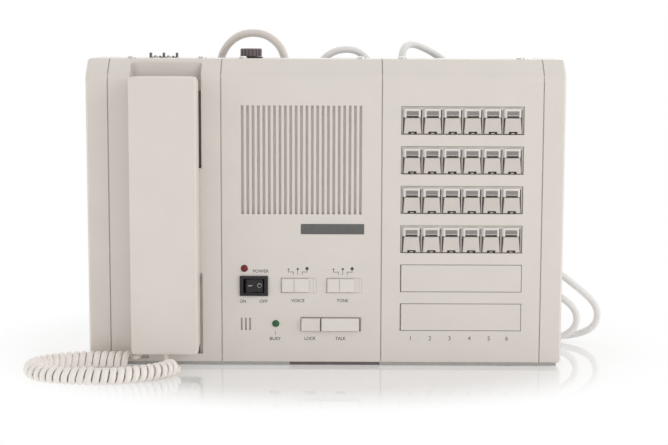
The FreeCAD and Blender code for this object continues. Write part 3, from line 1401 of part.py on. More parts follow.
handset_cover()
speaker_cover()
selector_cover()
end_cap("end_cap_left", -1)
end_cap("end_cap_right", 1)
rear_chassis()
feet()
handset_front_shell()
handset_back_shell()
hook_plunger()
loudspeaker()
lamp("power_lamp", "powerLampPlace", "powerLampHeight")
lamp("busy_lamp", "busyLampPlace", "busyLampHeight")
rocker_switch()
slide_switches()
slider_knob("voice_knob", "voicePlace")
slider_knob("tone_knob", "tonePlace")
push_button("lock_button", LOCK_LEFT, "lockWidth")
push_button("talk_button", TALK_LEFT, "talkWidth")
key_frames()
lamp_lenses()
keys()
blank_plates()
circuit_boards()
terminal_strip()
fuse_holder()
fuse_cap()
cord_outlets()
mains_cord()
link_cable()
station_cable()
handset_cord()

document.recompute()
for item in document.Objects:
    if {"Invalid", "Error"} & set(item.State):
        raise ValueError(f"{item.Label} did not build")
    if item.TypeId == "PartDesign::Pocket" and item.Shape.Volume > item.BaseFeature.Shape.Volume - 0.01:
        raise ValueError(f"{item.Label} cut nothing")
for item in tubes:
    volume = math.pi * item.Sections[0].Radius.Value ** 2 * item.Spine[0].Shape.Length
    if abs(item.Shape.Volume / volume - 1) > 0.02:
        raise ValueError(f"{item.Label} has {item.Shape.Volume:.0f} mm3, its path asks for {volume:.0f}")
    print(f"{item.Label}: length {item.Spine[0].Shape.Length:.0f} mm")
for item in nodes:
    shape = Part.getShape(item)
    if shape.isNull() or not shape.isValid():
        raise ValueError(f"{item.Label} is not a valid solid")
    shape.exportStep(f"parts/{item.Label}.step")
print(len(nodes), "nodes")
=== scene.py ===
import math
import random

import bmesh
import bpy
from mathutils import Matrix, Vector
from mathutils.bvhtree import BVHTree


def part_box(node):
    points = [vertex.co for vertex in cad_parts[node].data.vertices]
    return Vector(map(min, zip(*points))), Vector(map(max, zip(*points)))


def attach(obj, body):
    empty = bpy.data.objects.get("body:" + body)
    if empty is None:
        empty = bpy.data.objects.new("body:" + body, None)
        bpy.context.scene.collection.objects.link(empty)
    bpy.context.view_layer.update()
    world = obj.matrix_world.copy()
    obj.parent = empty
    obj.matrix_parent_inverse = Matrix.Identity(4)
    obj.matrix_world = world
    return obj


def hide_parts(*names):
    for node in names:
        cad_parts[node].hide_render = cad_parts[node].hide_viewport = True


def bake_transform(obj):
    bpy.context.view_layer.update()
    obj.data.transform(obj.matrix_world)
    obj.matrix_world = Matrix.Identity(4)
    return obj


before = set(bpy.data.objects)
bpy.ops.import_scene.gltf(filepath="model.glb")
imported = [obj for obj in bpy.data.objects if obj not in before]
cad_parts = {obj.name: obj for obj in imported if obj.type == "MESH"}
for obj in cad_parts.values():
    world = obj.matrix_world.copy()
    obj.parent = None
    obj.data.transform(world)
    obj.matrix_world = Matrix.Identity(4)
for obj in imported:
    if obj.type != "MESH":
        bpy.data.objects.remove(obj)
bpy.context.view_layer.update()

MM = 0.001
TURN = 2 * math.pi


def stageLine(text):
    print("scene:", text)


# ---- frame: the casing's own axes, from the middle of its lower front edge ----

coverLow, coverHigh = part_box("speaker_cover")
frontY = coverLow[1]
casingFoot = coverLow[2]
casingTop = coverHigh[2]


def place(x, y, z):
    """A point from millimetres in the casing's axes."""
    return Vector((x * MM, frontY + y * MM, casingFoot + z * MM))


# ---- camera ----

camera = {
    "at": (0.008, -1.1783, 0.2557),
    "yaw": -0.08,
    "pitch": 7.23,
    "roll": 0.18,
    "focalPixels": 1550,
    "widthPixels": 668,
    "sensor": 36,
    "clip": (0.05, 30),
}


def addCamera():
    data = bpy.data.cameras.new("camera")
    data.sensor_width = camera["sensor"]
    data.lens = camera["sensor"] * camera["focalPixels"] / camera["widthPixels"]
    data.clip_start, data.clip_end = camera["clip"]
    yaw, pitch, roll = (math.radians(camera[name]) for name in ("yaw", "pitch", "roll"))
    flat = math.cos(pitch)
    ahead = Vector((math.sin(yaw) * flat, math.cos(yaw) * flat, -math.sin(pitch)))
    level = Vector((math.cos(yaw), -math.sin(yaw), 0))
    upright = level.cross(ahead)
    right = math.cos(roll) * level + math.sin(roll) * upright
    up = math.cos(roll) * upright - math.sin(roll) * level
    axes = Matrix((right, up, -ahead)).transposed().to_4x4()
    item = bpy.data.objects.new("camera", data)
    item.matrix_world = Matrix.Translation(camera["at"]) @ axes
    bpy.context.scene.collection.objects.link(item)
    bpy.context.scene.camera = item


addCamera()
stageLine("camera")


# ---- node and material helpers ----


def colour(text):
    """Linear colour of a hex sRGB value."""
    values = [int(text[i:i + 2], 16) / 255 for i in (1, 3, 5)]
    linear = [v / 12.92 if v <= 0.04045 else ((v + 0.055) / 1.055) ** 2.4 for v in values]
    return (*linear, 1.0)


def addNode(tree, kind, links=None, **settings):
    """Adds a node; links maps its inputs to values or to another node's output."""
    item = tree.nodes.new(f"ShaderNode{kind}")
    for name, value in settings.items():
        setattr(item, name, value)
    for name, value in (links or {}).items():
        if isinstance(value, bpy.types.NodeSocket):
            tree.links.new(value, item.inputs[name])
        else:
            item.inputs[name].default_value = value
    return item


def newMaterial(name):
    material = bpy.data.materials.new(name)
    material.use_nodes = True
    material.node_tree.nodes.clear()
    return material, material.node_tree


def spread(tree, vector, scale, detail=3.0, rough=0.5):
    """Soft noise from 0 to 1 at a scale in cells per metre."""
    return addNode(tree, "TexNoise", {
        "Vector": vector, "Scale": scale, "Detail": detail, "Roughness": rough,
    }).outputs["Fac"]


def shade(tree, noise, dark, light):
    """A ramp between two colours over the middle of a noise's range."""
    ramp = addNode(tree, "ValToRGB", {"Fac": noise})
    ramp.color_ramp.elements[0].position = 0.3
    ramp.color_ramp.elements[0].color = dark
    ramp.color_ramp.elements[1].position = 0.7
    ramp.color_ramp.elements[1].color = light
    return ramp.outputs["Color"]


def scaled(rgba, factor):
    """A colour made darker or lighter."""
    return (*[min(1.0, value * factor) for value in rgba[:3]], 1.0)


def mixed(tree, factor, one, other, blend="MIX"):
    """A mix of two colours."""
    return addNode(tree, "Mix", {"Factor": factor, "A": one, "B": other}, data_type="RGBA",
                   blend_type=blend).outputs["Result"]


def worldAxes(tree):
    """The sockets of a point's place in the scene."""
    position = addNode(tree, "NewGeometry").outputs["Position"]
    return addNode(tree, "SeparateXYZ", {"Vector": position}).outputs


# the cradle's scoop has rounder edges than the rest of its cover, and painted shade darkens its depth; its
# place is in millimetres, and the fading at its foot, the rounding and the reach of the shade are in metres
scoop = {
    "middle": -119,
    "half": 26.6,
    "foot": 210,
    "below": 0.003,
    "above": 0.001,
    "round": 0.005,
    "reach": 0.006,
    "paintedShade": 0.5,
}


def scoopMask(tree):
    """One over the cradle's scoop and nought elsewhere on its cover."""
    centre = place(scoop["middle"], 0, scoop["foot"])
    axes = worldAxes(tree)
    over = addNode(tree, "MapRange", {
        "Value": axes["Z"], "From Min": centre.z - scoop["below"], "From Max": centre.z + scoop["above"],
    })
    beside = addNode(tree, "Math", {0: axes["X"], 1: centre.x, 2: scoop["half"] * MM},
                     operation="COMPARE")
    both = addNode(tree, "Math", {0: over.outputs["Result"], 1: beside.outputs["Value"]},
                   operation="MULTIPLY")
    return both.outputs["Value"]


# noise in cells per metre, and the relief of the fine texture in metres
moulded = {"mottle": 38, "patches": 7, "sheen": 60, "spread": 0.06, "relief": 0.00004}
brush = {"streaks": 160, "sheen": 420, "scratches": 900, "relief": 0.00003}


def plastic(name, base, rough=0.42, grain=0.35, grainScale=1800, mottle=0.03, age=None,
            coat=0.0, edge=0.0004, gloss=0.5, scooped=False):
    """Moulded plastic: fine texture, faint mottling and softened edges."""
    material, tree = newMaterial(name)
    vector = addNode(tree, "TexCoord").outputs["Object"]
    base = colour(base)
    mottles = spread(tree, vector, moulded["mottle"])
    body = shade(tree, mottles, scaled(base, 1 - mottle), scaled(base, 1 + mottle))
    if age:
        patches = spread(tree, vector, moulded["patches"], 4.0, 0.6)
        body = mixed(tree, patches, body, colour(age))
    # painted shade: over the cradle's scoop an ambient occlusion darkens the colour, and the edges are
    # rounder
    if scooped:
        mask = scoopMask(tree)
        edge = addNode(tree, "MapRange", {"Value": mask, "To Min": edge, "To Max": scoop["round"]})
        edge = edge.outputs["Result"]
        hollow = addNode(tree, "AmbientOcclusion", {"Distance": scoop["reach"]}, samples=8)
        paintedShade = addNode(tree, "Math", {0: mask, 1: scoop["paintedShade"]}, operation="MULTIPLY")
        body = mixed(tree, paintedShade.outputs["Value"], body, hollow.outputs["Color"], "MULTIPLY")
    roundEdge = addNode(tree, "Bevel", {"Radius": edge}, samples=4)
    bump = addNode(tree, "Bump", {
        "Strength": grain, "Distance": moulded["relief"], "Height": spread(tree, vector, grainScale, 2.0),
        "Normal": roundEdge.outputs["Normal"],
    })
    sheen = addNode(tree, "MapRange", {
        "Value": spread(tree, vector, moulded["sheen"], 4.0), "To Min": rough - moulded["spread"],
        "To Max": rough + moulded["spread"],
    })
    shader = addNode(tree, "BsdfPrincipled", {
        "Base Color": body, "Roughness": sheen.outputs["Result"], "Normal": bump.outputs["Normal"],
        "Specular IOR Level": gloss, "Coat Weight": coat, "Coat Roughness": 0.15,
    })
    addNode(tree, "OutputMaterial", {"Surface": shader.outputs["BSDF"]})
    return material


def metal(name, base, rough=0.3, scratch=0.3, direction=(1, 1, 14)):
    """Bare or plated metal, brushed along one direction."""
    material, tree = newMaterial(name)
    vector = addNode(tree, "TexCoord").outputs["Object"]
    brushed = addNode(tree, "Mapping", {"Vector": vector, "Scale": direction}).outputs["Vector"]
    base = colour(base)
    body = shade(tree, spread(tree, brushed, brush["streaks"]), scaled(base, 0.86), scaled(base, 1.1))
    sheen = addNode(tree, "MapRange", {
        "Value": spread(tree, brushed, brush["sheen"], 5.0), "To Min": rough - 0.1,
        "To Max": rough + 0.15,
    })
    bump = addNode(tree, "Bump", {
        "Strength": scratch, "Distance": brush["relief"],
        "Height": spread(tree, brushed, brush["scratches"], 2.0),
    })
    shader = addNode(tree, "BsdfPrincipled", {
        "Base Color": body, "Metallic": 1.0, "Roughness": sheen.outputs["Result"],
        "Normal": bump.outputs["Normal"],
    })
    addNode(tree, "OutputMaterial", {"Surface": shader.outputs["BSDF"]})
    return material


def woven(name, base, threads=900):
    """Plain weave: two sets of threads crossing, with a number of threads to the metre."""
    material, tree = newMaterial(name)
    vector = addNode(tree, "TexCoord").outputs["Object"]
    # at a scale of one the texture's bands lie a twentieth of TURN apart
    scale = threads * TURN / 20
    weave = []
    for direction in ("X", "Z"):
        wave = addNode(tree, "TexWave", {"Vector": vector, "Scale": scale, "Distortion": 0.4},
                       wave_type="BANDS", bands_direction=direction)
        weave.append(wave.outputs["Fac"])
    crossed = addNode(tree, "Math", {0: weave[0], 1: weave[1]}, operation="MULTIPLY").outputs["Value"]
    base = colour(base)
    ramp = addNode(tree, "ValToRGB", {"Fac": crossed})
    ramp.color_ramp.elements[0].color = scaled(base, 0.8)
    ramp.color_ramp.elements[1].color = base
    bump = addNode(tree, "Bump", {"Strength": 0.5, "Distance": 0.0001, "Height": crossed})
    shader = addNode(tree, "BsdfPrincipled", {
        "Base Color": ramp.outputs["Color"], "Roughness": 0.9, "Normal": bump.outputs["Normal"],
        "Sheen Weight": 0.2,
    })
    addNode(tree, "OutputMaterial", {"Surface": shader.outputs["BSDF"]})
    return material


materials = {
    # injection-moulded casing, yellowed a little with age
    "casing": plastic("casing_off_white_abs", "#DBD5CF", 0.42, age="#D9D1C9", edge=0.0007),
    # the same for the handset's cover, with rounder edges and painted shade in the scoop of the cradle
    "cradle": plastic("cradle_off_white_abs_painted_shade", "#DBD5CF", 0.42, age="#D9D1C9", edge=0.0007,
                      scooped=True),
    # same moulding, a shade lighter and smoother
    "handset": plastic("handset_off_white_abs", "#DCD6D0", 0.36, grain=0.2, age="#DAD2CA"),
    # warm grey key caps
    "key": plastic("key_warm_grey_abs", "#CFC7BF", 0.4, grain=0.25),
    # key frames and lamp housings
    "frame": plastic("frame_warm_grey_abs", "#E2DCD6", 0.5),
    # smoky styrene lenses
    "lens": plastic("lens_smoky_styrene", "#A79E9C", 0.25, grain=0.1, coat=0.4),
    # slider and talk caps
    "cap": plastic("cap_off_white_abs", "#DFD8D2", 0.38, grain=0.2),
    # lock cap, a little darker than the other caps
    "lock": plastic("lock_off_white_abs", "#DCD4CD", 0.38, grain=0.2),
    # black phenolic of the switches and the fuse holder, also the painted shade in the keys' notches
    "black": plastic("black_phenolic_and_painted_shade", "#1E1A1C", 0.32, grain=0.2, mottle=0.1, coat=0.1, gloss=0.3),
    # fuse cap, black faded to brown; the dark strips of painted shade in the ear's pocket and under the
    # front use it too
    "fuse": plastic("fuse_cap_faded_bakelite_and_painted_shade", "#6A5D60", 0.4, grain=0.3, mottle=0.12),
    # terminal strip mouldings
    "terminal": plastic("terminal_dark_phenolic", "#57504B", 0.5, grain=0.3, mottle=0.1),
    # red epoxy of the power lamp, unlit
    "red": plastic("lamp_red_epoxy", "#74161F", 0.2, grain=0, gloss=0.35),
    # green epoxy of the busy lamp, unlit
    "green": plastic("lamp_green_epoxy", "#1F6236", 0.2, grain=0, gloss=0.35),
    # matt rubber feet
    "rubber": plastic("rubber_black", "#1C1A19", 0.8, grain=0.6, mottle=0.15),
    # pressed paper cone
    "cone": plastic("cone_pressed_paper", "#2B2826", 0.9, grain=1.0, grainScale=700, mottle=0.2),
    # pale speaker cloth behind the slots
    "cloth": woven("grille_cloth_pale", "#FAF4EE"),
    # phenolic laminate boards
    "board": plastic("board_phenolic_laminate", "#8A6A3C", 0.5, grain=0.2, mottle=0.12),
    # grey vinyl of the cord outlets, also behind the microphone slots and at the lenses' feet
    "outlet": plastic("outlet_vinyl_grey", "#BDB6AF", 0.5, grain=0.3),
    # printed legends
    "print": plastic("legend_grey_ink", "#4C4642", 0.6, grain=0),
    # white legends on the rocker
    "whitePrint": plastic("legend_white_ink", "#CCC7C2", 0.6, grain=0),
    # thin leader lines, printed in a paler grey
    "faint": plastic("leader_pale_grey_ink", "#8F8780", 0.6, grain=0),
    # mains lead sheath, greyed vinyl
    "mains": plastic("mains_vinyl_grey_white", "#DAD2CB", 0.4, grain=0.2, grainScale=1200),
    # white vinyl of the station and link cables
    "white": plastic("cable_vinyl_white", "#E4E2E0", 0.32, grain=0.1),
    # curly cord
    "curly": plastic("curly_cord_vinyl", "#F0E9E3", 0.34, grain=0.1),
    # zinc-plated sheet
    "zinc": metal("zinc_plated_sheet", "#A8A7A3", 0.38),
    # nickel-plated screws and pins
    "nickel": metal("nickel_plated_steel", "#C9C6C0", 0.24, direction=(1, 1, 1)),
    # anodised badge plate
    "badge": metal("badge_dark_anodised", "#6B6C6A", 0.42, direction=(14, 1, 1)),
}


def tintBelow(material, height, base):
    """Another colour under a height, for a base moulded in its own plastic."""
    tree = material.node_tree
    shader = next(item for item in tree.nodes if item.type == "BSDF_PRINCIPLED")
    above = shader.inputs["Base Color"].links[0].from_socket
    low = addNode(tree, "Math", {0: worldAxes(tree)["Z"], 1: height}, operation="LESS_THAN")
    body = mixed(tree, low.outputs["Value"], above, colour(base))
    tree.links.new(body, shader.inputs["Base Color"])


# the terminal strip's barriers are dark and its base is pale
stripBase = {"top": 228.3, "colour": "#D3CCC4"}
tintBelow(materials["terminal"], place(0, 0, stripBase["top"]).z, stripBase["colour"])
stageLine("materials")

keyNodes = [f"key_r{row}_c{column}" for row in range(1, 5) for column in range(1, 7)]
finishes = {
    "cradle": ["handset_cover"],
    "casing": ["speaker_cover", "selector_cover", "end_cap_left", "end_cap_right",
               "blank_plates"],
    "handset": ["handset_front_shell", "handset_back_shell"],
    "key": keyNodes,
    "frame": ["key_frames"],
    "lens": ["lamp_lenses"],
    "cap": ["voice_knob", "tone_knob", "talk_button", "slide_switches"],
    "lock": ["lock_button"],
    "black": ["rocker_bezel", "power_rocker", "fuse_holder", "hook_plunger"],
    "outlet": ["cord_outlets"],
    "fuse": ["fuse_cap"],
    "terminal": ["terminal_strip"],
    "red": ["power_lamp"],
    "green": ["busy_lamp"],
    "rubber": ["feet"],
    "cone": ["speaker_cone"],
    "board": ["circuit_boards"],
    "zinc": ["rear_chassis", "speaker_frame"],
}
for finish, nodeNames in finishes.items():
    for nodeName in nodeNames:
        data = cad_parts[nodeName].data
        data.materials.clear()
        data.materials.append(materials[finish])
stageLine("node materials")


# ---- pieces ----

sharpAngle = 0.6  # radians between two faces, from which their edge stays sharp


def finishPiece(name, mesh, finish, body):
    """A scene object of a mesh, joined to a body when one is given."""
    mesh.materials.clear()
    mesh.materials.append(materials[finish])
    item = bpy.data.objects.new(name, mesh)
    bpy.context.scene.collection.objects.link(item)
    if body:
        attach(item, body)
    return item


def meshOf(name, build):
    """A mesh that build(bm) fills."""
    bm = bmesh.new()
    build(bm)
    bmesh.ops.recalc_face_normals(bm, faces=bm.faces[:])
    for edge in bm.edges:
        edge.smooth = edge.calc_face_angle(0) < sharpAngle
    for face in bm.faces:
        face.smooth = True
    mesh = bpy.data.meshes.new(name)
    bm.to_mesh(mesh)
    bm.free()
    return mesh


def lathe(bm, profile, segments=32):
    """Turns (radius, height) points, in millimetres, about the vertical axis."""
    points = [bm.verts.new((radius * MM, 0, height * MM)) for radius, height in profile]
    lines = [bm.edges.new(pair) for pair in zip(points, points[1:])]
    bmesh.ops.spin(bm, geom=points + lines, cent=(0, 0, 0), axis=(0, 0, 1), angle=TURN, steps=segments)
    bmesh.ops.remove_doubles(bm, verts=bm.verts[:], dist=1e-6)
    bmesh.ops.recalc_face_normals(bm, faces=bm.faces[:])


def joinTo(bm, one, matrix):
    """Adds a small mesh to a larger one at a place, and frees it."""
    one.transform(matrix)
    part = bpy.data.meshes.new("part")
    one.to_mesh(part)
    one.free()
    bm.from_mesh(part)
    bpy.data.meshes.remove(part)


def addBlock(bm, low, high, edge, waist=1.0):
    """A box between two corners with rounded edges; waist narrows its left end."""
    size = Vector(high) - Vector(low)
    middle = (Vector(high) + Vector(low)) / 2
    one = bmesh.new()
    bmesh.ops.create_cube(one, size=1, matrix=Matrix.Diagonal((*size, 1)))
    left = [vertex for vertex in one.verts if vertex.co.x < 0]
    bmesh.ops.scale(one, verts=left, vec=(1, waist, waist))
    bmesh.ops.bevel(one, geom=one.edges[:], offset=edge, segments=3, profile=0.5, affect="EDGES")
    joinTo(bm, one, Matrix.Translation(middle))


# ---- cords: diameters and lengths in metres, places in millimetres of the casing's axes ----


def curveData(name, points):
    """A smooth NURBS curve with the points as its control points."""
    data = bpy.data.curves.new(name, "CURVE")
    data.dimensions = "3D"
    spline = data.splines.new("NURBS")
    spline.points.add(len(points) - 1)
    for item, point in zip(spline.points, points):
        item.co = (*point, 1)
    spline.order_u = 3
    spline.use_endpoint_u = True
    spline.resolution_u = 8
    return data


def linePoints(points):
    """Points along the smooth curve, read from the curve without a bevel."""
    data = curveData("route", points)
    item = bpy.data.objects.new("route", data)
    mesh = bpy.data.meshes.new_from_object(item)
    line = [vertex.co.copy() for vertex in mesh.vertices]
    bpy.data.objects.remove(item)
    bpy.data.curves.remove(data)
    bpy.data.meshes.remove(mesh)
    return line


def cordCurve(name, points, diameter, finish):
    data = curveData(name, points)
    data.bevel_depth = diameter / 2
    data.bevel_resolution = 5
    data.use_fill_caps = True
    data.materials.append(materials[finish])
    item = bpy.data.objects.new(name, data)
    bpy.context.scene.collection.objects.link(item)
    return item


mains = {
    "diameter": 0.0062,
    "length": 1.5,
    "coilCentre": (-89.6, 142.8),
    "coilStart": (-25, -31.5),
    "rings": (40.2, 34.0, 27.8),
    "layers": (0.1, 6.3),
    "turns": 5.393,
    "steps": 24,
    # the last share of each turn moves over to the next ring
    "moveOver": 0.2,
    # how far right of the coil's middle and how high over the casing's foot
    "tail": [(12, 4), (22, 0.6), (42, 0.1)],
    "route": [
        (-30.6, 66.5, 206), (-30.4, 67, 230), (-46, 72, 247), (-69, 79, 247), (-84.5, 84.5, 231),
        (-85.7, 88, 204), (-84, 89.5, 165), (-85, 90, 120), (-88, 91, 76), (-91, 94, 40),
        (-98, 102, 14),
    ],
}


def coilPoints():
    """Turns side by side on two layers, wound inwards below and outwards on top."""
    centreX, centreY = mains["coilCentre"]
    startX, startY = mains["coilStart"]
    start = math.atan2(startY, startX)
    low, high = mains["layers"]
    moveOver = mains["moveOver"]
    count = round(mains["turns"] * mains["steps"])
    order = [*mains["rings"], *reversed(mains["rings"])]
    lastBelow = len(mains["rings"]) - 1
    points = []
    for step in range(count + 1):
        turned = mains["turns"] * step / count
        whole = min(int(turned), len(order) - 1)
        ease = max(0.0, turned - whole - (1 - moveOver)) / moveOver
        ease = ease * ease * (3 - 2 * ease)
        following = order[min(whole + 1, len(order) - 1)]
        radius = order[whole] + (following - order[whole]) * ease
        onTop = 0.0 if whole < lastBelow else ease if whole == lastBelow else 1.0
        angle = start - TURN * turned
        points.append(place(centreX + radius * math.cos(angle), centreY + radius * math.sin(angle),
                            low + (high - low) * onTop))
    return points


def addMainsCord():
    points = [place(*point) for point in mains["route"]] + coilPoints()
    centreX, centreY = mains["coilCentre"]
    outer = mains["rings"][0]
    points += [place(centreX + along, centreY + outer, height) for along, height in mains["tail"]]
    item = cordCurve("mains_lead", points, mains["diameter"], "mains")
    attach(item, "casing")
    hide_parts("mains_cord", "mains_coil")
    return item


link = {
    "diameter": 0.0056,
    "length": 0.112,
    "route": [
        (-17.5, 66.5, 193), (-17, 66.7, 206), (-7.5, 67, 222), (6.2, 67.5, 234.5),
        (25.4, 67.5, 234.5), (35.9, 67, 221), (38.6, 66.7, 206), (38.5, 66.5, 193),
    ],
}


def addLinkCable():
    item = cordCurve("link_lead", [place(*point) for point in link["route"]], link["diameter"], "white")
    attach(item, "casing")
    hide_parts("link_cable")


station = {
    "diameter": 0.0056,
    "length": 0.589,
    "route": [
        (57, 66.5, 193), (57.3, 67, 209), (58.3, 69, 224.5), (60.3, 74, 236), (67, 81, 239.5),
        (80, 88, 234.5), (95, 94, 225), (109, 98, 211), (120.5, 100, 190), (131, 100, 163),
        (142.5, 99, 133), (151, 98, 105), (165, 96, 80), (181, 94, 61), (199, 91, 46.5), (212.5, 90, 36),
        (220.3, 89, 26.5), (221, 89, 15.5), (214.5, 91, 6.8), (200, 95, 1.8), (177, 100, -0.2),
        (157, 106, 3), (143, 111, 14), (141, 112, 31), (153, 107, 43), (172, 96, 44), (188.5, 87, 37),
        (201, 84, 27), (204, 83.3, 17), (200, 83.3, 8), (188, 84.4, 1.8), (170, 87, -0.2),
        (150, 90, -0.2),
    ],
}


def addStationCable(plug):
    item = cordCurve("station_lead", [place(*point) for point in station["route"]], station["diameter"],
                     "white")
    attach(item, "casing")
    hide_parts("station_cable")


curly = {
    "strand": (0.0048, 0.0032),
    "outer": 0.0127,
    "turns": 39,
    "steps": 22,
    "height": 3.3,
    "route": [
        (-147.5, -8.3), (-177, -8.3), (-200.5, -14.5), (-215.5, -31), (-213.5, -50.5), (-196.5, -63),
        (-173, -67.5), (-150.5, -65.5), (-130, -56), (-116, -44), (-111.5, -32.5),
    ],
    "jackLead": [(-139.5, 0.3, 5.6), (-139.6, -4.4, 5.4), (-142.8, -7.9, 4)],
    "handsetLead": [
        (-110.2, -27.5, 2.6), (-112.6, -20.8, 1), (-117.4, -15.8, 1.6), (-119, -14.1, 5),
        (-119.1, -14, 9.5),
    ],
    # the coil stretches from a place that stays with the casing to one that the handset carries
    "still": (-67.5, 67.5, 0),
    "carried": (-54, 54, 0),
}


def helixFrames(line, turns, steps, radius):
    """Places along a helix about a line: X along the line, Y outwards and Z along the strand."""
    lengths = [0.0]
    for before, after in zip(line, line[1:]):
        lengths.append(lengths[-1] + (after - before).length)
    count = turns * steps
    points = []
    outwards = []
    index = 0
    for step in range(count + 1):
        reach = lengths[-1] * step / count
        while index < len(line) - 2 and lengths[index + 1] < reach:
            index += 1
        share = (reach - lengths[index]) / (lengths[index + 1] - lengths[index])
        centre = line[index].lerp(line[index + 1], share)
        ahead = (line[index + 1] - line[index]).normalized()
        side = ahead.cross(Vector((0, 0, 1))).normalized()
        angle = TURN * step / steps
        outwards.append(math.cos(angle) * side + math.sin(angle) * side.cross(ahead))
        points.append(centre + radius * outwards[-1])
    frames = []
    for step in range(1, count):
        along = (points[step + 1] - points[step - 1]).normalized()
        wide = outwards[step].cross(along).normalized()
        axes = Matrix((wide, along.cross(wide), along)).transposed().to_4x4()
        frames.append(Matrix.Translation(points[step]) @ axes)
    return frames


def sweep(bm, frames, size):
    """Draws an oval of the given size through a row of places."""
    oval = Matrix.Diagonal((size[0], size[1], 1, 1))
    grown = bmesh.ops.create_circle(bm, cap_ends=True, segments=14, radius=0.5, matrix=frames[0] @ oval)
    ring = list(dict.fromkeys(edge for vertex in grown["verts"] for edge in vertex.link_edges))
    for before, after in zip(frames, frames[1:]):
        grown = bmesh.ops.extrude_edge_only(bm, edges=ring)["geom"]
        moved = {item for item in grown if isinstance(item, bmesh.types.BMVert)}
        ring = [item for item in grown if isinstance(item, bmesh.types.BMEdge) and set(item.verts) <= moved]
        bmesh.ops.transform(bm, matrix=after @ before.inverted(), verts=list(moved))
    bmesh.ops.contextual_create(bm, geom=ring)


def addHandsetCord():
    line = linePoints([place(*point, curly["height"]) for point in curly["route"]])
    wide, thick = curly["strand"]
    frames = helixFrames(line, curly["turns"], curly["steps"], (curly["outer"] - thick) / 2)
    coil = [spot.translation for spot in frames]
    leads = [[place(*point) for point in curly["jackLead"]] + [coil[0]],
             [coil[-1]] + [place(*point) for point in curly["handsetLead"]]]

    def build(bm):
        sweep(bm, frames, (wide, thick))
        for points in leads:
            lead = cordCurve("lead", points, thick, "curly")
            curve = lead.data
            mesh = bpy.data.meshes.new_from_object(lead)
            bm.from_mesh(mesh)
            bpy.data.objects.remove(lead)
            bpy.data.curves.remove(curve)
            bpy.data.meshes.remove(mesh)

    item = finishPiece("curly_lead", meshOf("curly_lead", build), "curly", None)
    path = linePoints(leads[0]) + coil[1:-1] + linePoints(leads[1])
    length = sum((after - before).length for before, after in zip(path, path[1:]))
    stageLine(f"curly cord {length:.3f} m")
    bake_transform(item)
    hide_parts("handset_cord")


plugs = {
    "grip": 36,
    "edge": 2.6,
    "waist": 0.72,
    "ribs": (7, 10, 13, 16, 19),
    "rib": 1.4,
    "ribStands": 0.6,
    "leadHeight": 0.6,
    "pins": (-7, 7),
    "pin": ((0, -1), (2.35, -1), (2.35, 6.5), (2, 6.6), (2, 17.6), (1.4, 18.8), (0, 19)),
    "relief": ((0, 2), (3.55, 2), (3.55, -1.4), (3.25, -1.6), (3.25, -3), (3.55, -3.2), (3.55, -5.4),
               (3.25, -5.6), (3.25, -7), (3.5, -7.2), (3.5, -9), (0, -9)),
    "collar": 6.6,
}
connector = {
    "nose": 8,
    "noseEdge": 0.5,
    "shoulder": 1.2,
    "ridges": [8 + 2.4 * step for step in range(6)],
    "ridge": 1.2,
    "ridgeEdge": 0.4,
    "ridgeStands": 0.2,
    "ridgeInset": 1,
}


def finishPlug(name, build, finish, isMetal):
    """A plug of two finishes: the faces chosen by isMetal are nickel."""
    item = finishPiece(name, meshOf(name, build), finish, "casing")
    item.data.materials.append(materials["nickel"])
    for face in item.data.polygons:
        face.material_index = 1 if isMetal(face.center) else 0
    return item


def addMainsPlug():
    low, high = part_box("mains_plug")
    middleY, middleZ = (low[1] + high[1]) / 2, (low[2] + high[2]) / 2
    end = low[0] + plugs["grip"] * MM
    sideways = Matrix.Rotation(TURN / 4, 4, "Y")
    leadZ = place(0, 0, plugs["leadHeight"]).z
    stands = plugs["ribStands"] * MM

    def build(bm):
        inset = Vector((0, stands, stands))
        corner = Vector((end, high[1], high[2]))
        addBlock(bm, Vector(low) + inset, corner - inset, plugs["edge"] * MM, plugs["waist"])
        for start in plugs["ribs"]:
            left = low[0] + start * MM
            narrow = (1 - plugs["waist"]) / 2 * (1 - start / plugs["grip"])
            across = Vector((0, (high[1] - low[1]) * narrow, (high[2] - low[2]) * narrow))
            addBlock(bm, Vector((left, low[1], low[2])) + across,
                     Vector((left + plugs["rib"] * MM, high[1], high[2])) - across, stands)
        for offset in plugs["pins"]:
            one = bmesh.new()
            lathe(one, plugs["pin"], 20)
            joinTo(bm, one, Matrix.Translation((end, middleY + offset * MM, middleZ)) @ sideways)
        one = bmesh.new()
        lathe(one, plugs["relief"], 24)
        joinTo(bm, one, Matrix.Translation((low[0], middleY, leadZ)) @ sideways)

    item = finishPlug("mains_plug_moulding", build, "mains",
                      lambda spot: spot.x > end + plugs["collar"] * MM)
    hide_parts("mains_plug")
    return item


def addStationPlug():
    low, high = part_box("station_plug")
    start = low[0] + connector["nose"] * MM
    shoulder = connector["shoulder"] * MM
    across = connector["ridgeInset"] * MM
    stands = connector["ridgeStands"] * MM

    def build(bm):
        addBlock(bm, (start, low[1], low[2]), high, shoulder)
        inset = Vector((0, shoulder, shoulder))
        addBlock(bm, Vector(low) + inset, Vector((start + MM, high[1], high[2])) - inset,
                 connector["noseEdge"] * MM)
        for offset in connector["ridges"]:
            left = start + offset * MM
            addBlock(bm, (left, low[1] + across, low[2] + across),
                     (left + connector["ridge"] * MM, high[1] - across, high[2] + stands),
                     connector["ridgeEdge"] * MM)

    item = finishPlug("station_plug_shell", build, "black",
                      lambda spot: spot.x < start - 0.1 * MM)
    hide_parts("station_plug")
    return item


mainsLead = addMainsCord()
addMainsPlug()
addLinkCable()
addStationCable(addStationPlug())
addHandsetCord()
stageLine("cords")


# ---- lettering ----

printStands = 0.03  # millimetres of ink in front of the covers


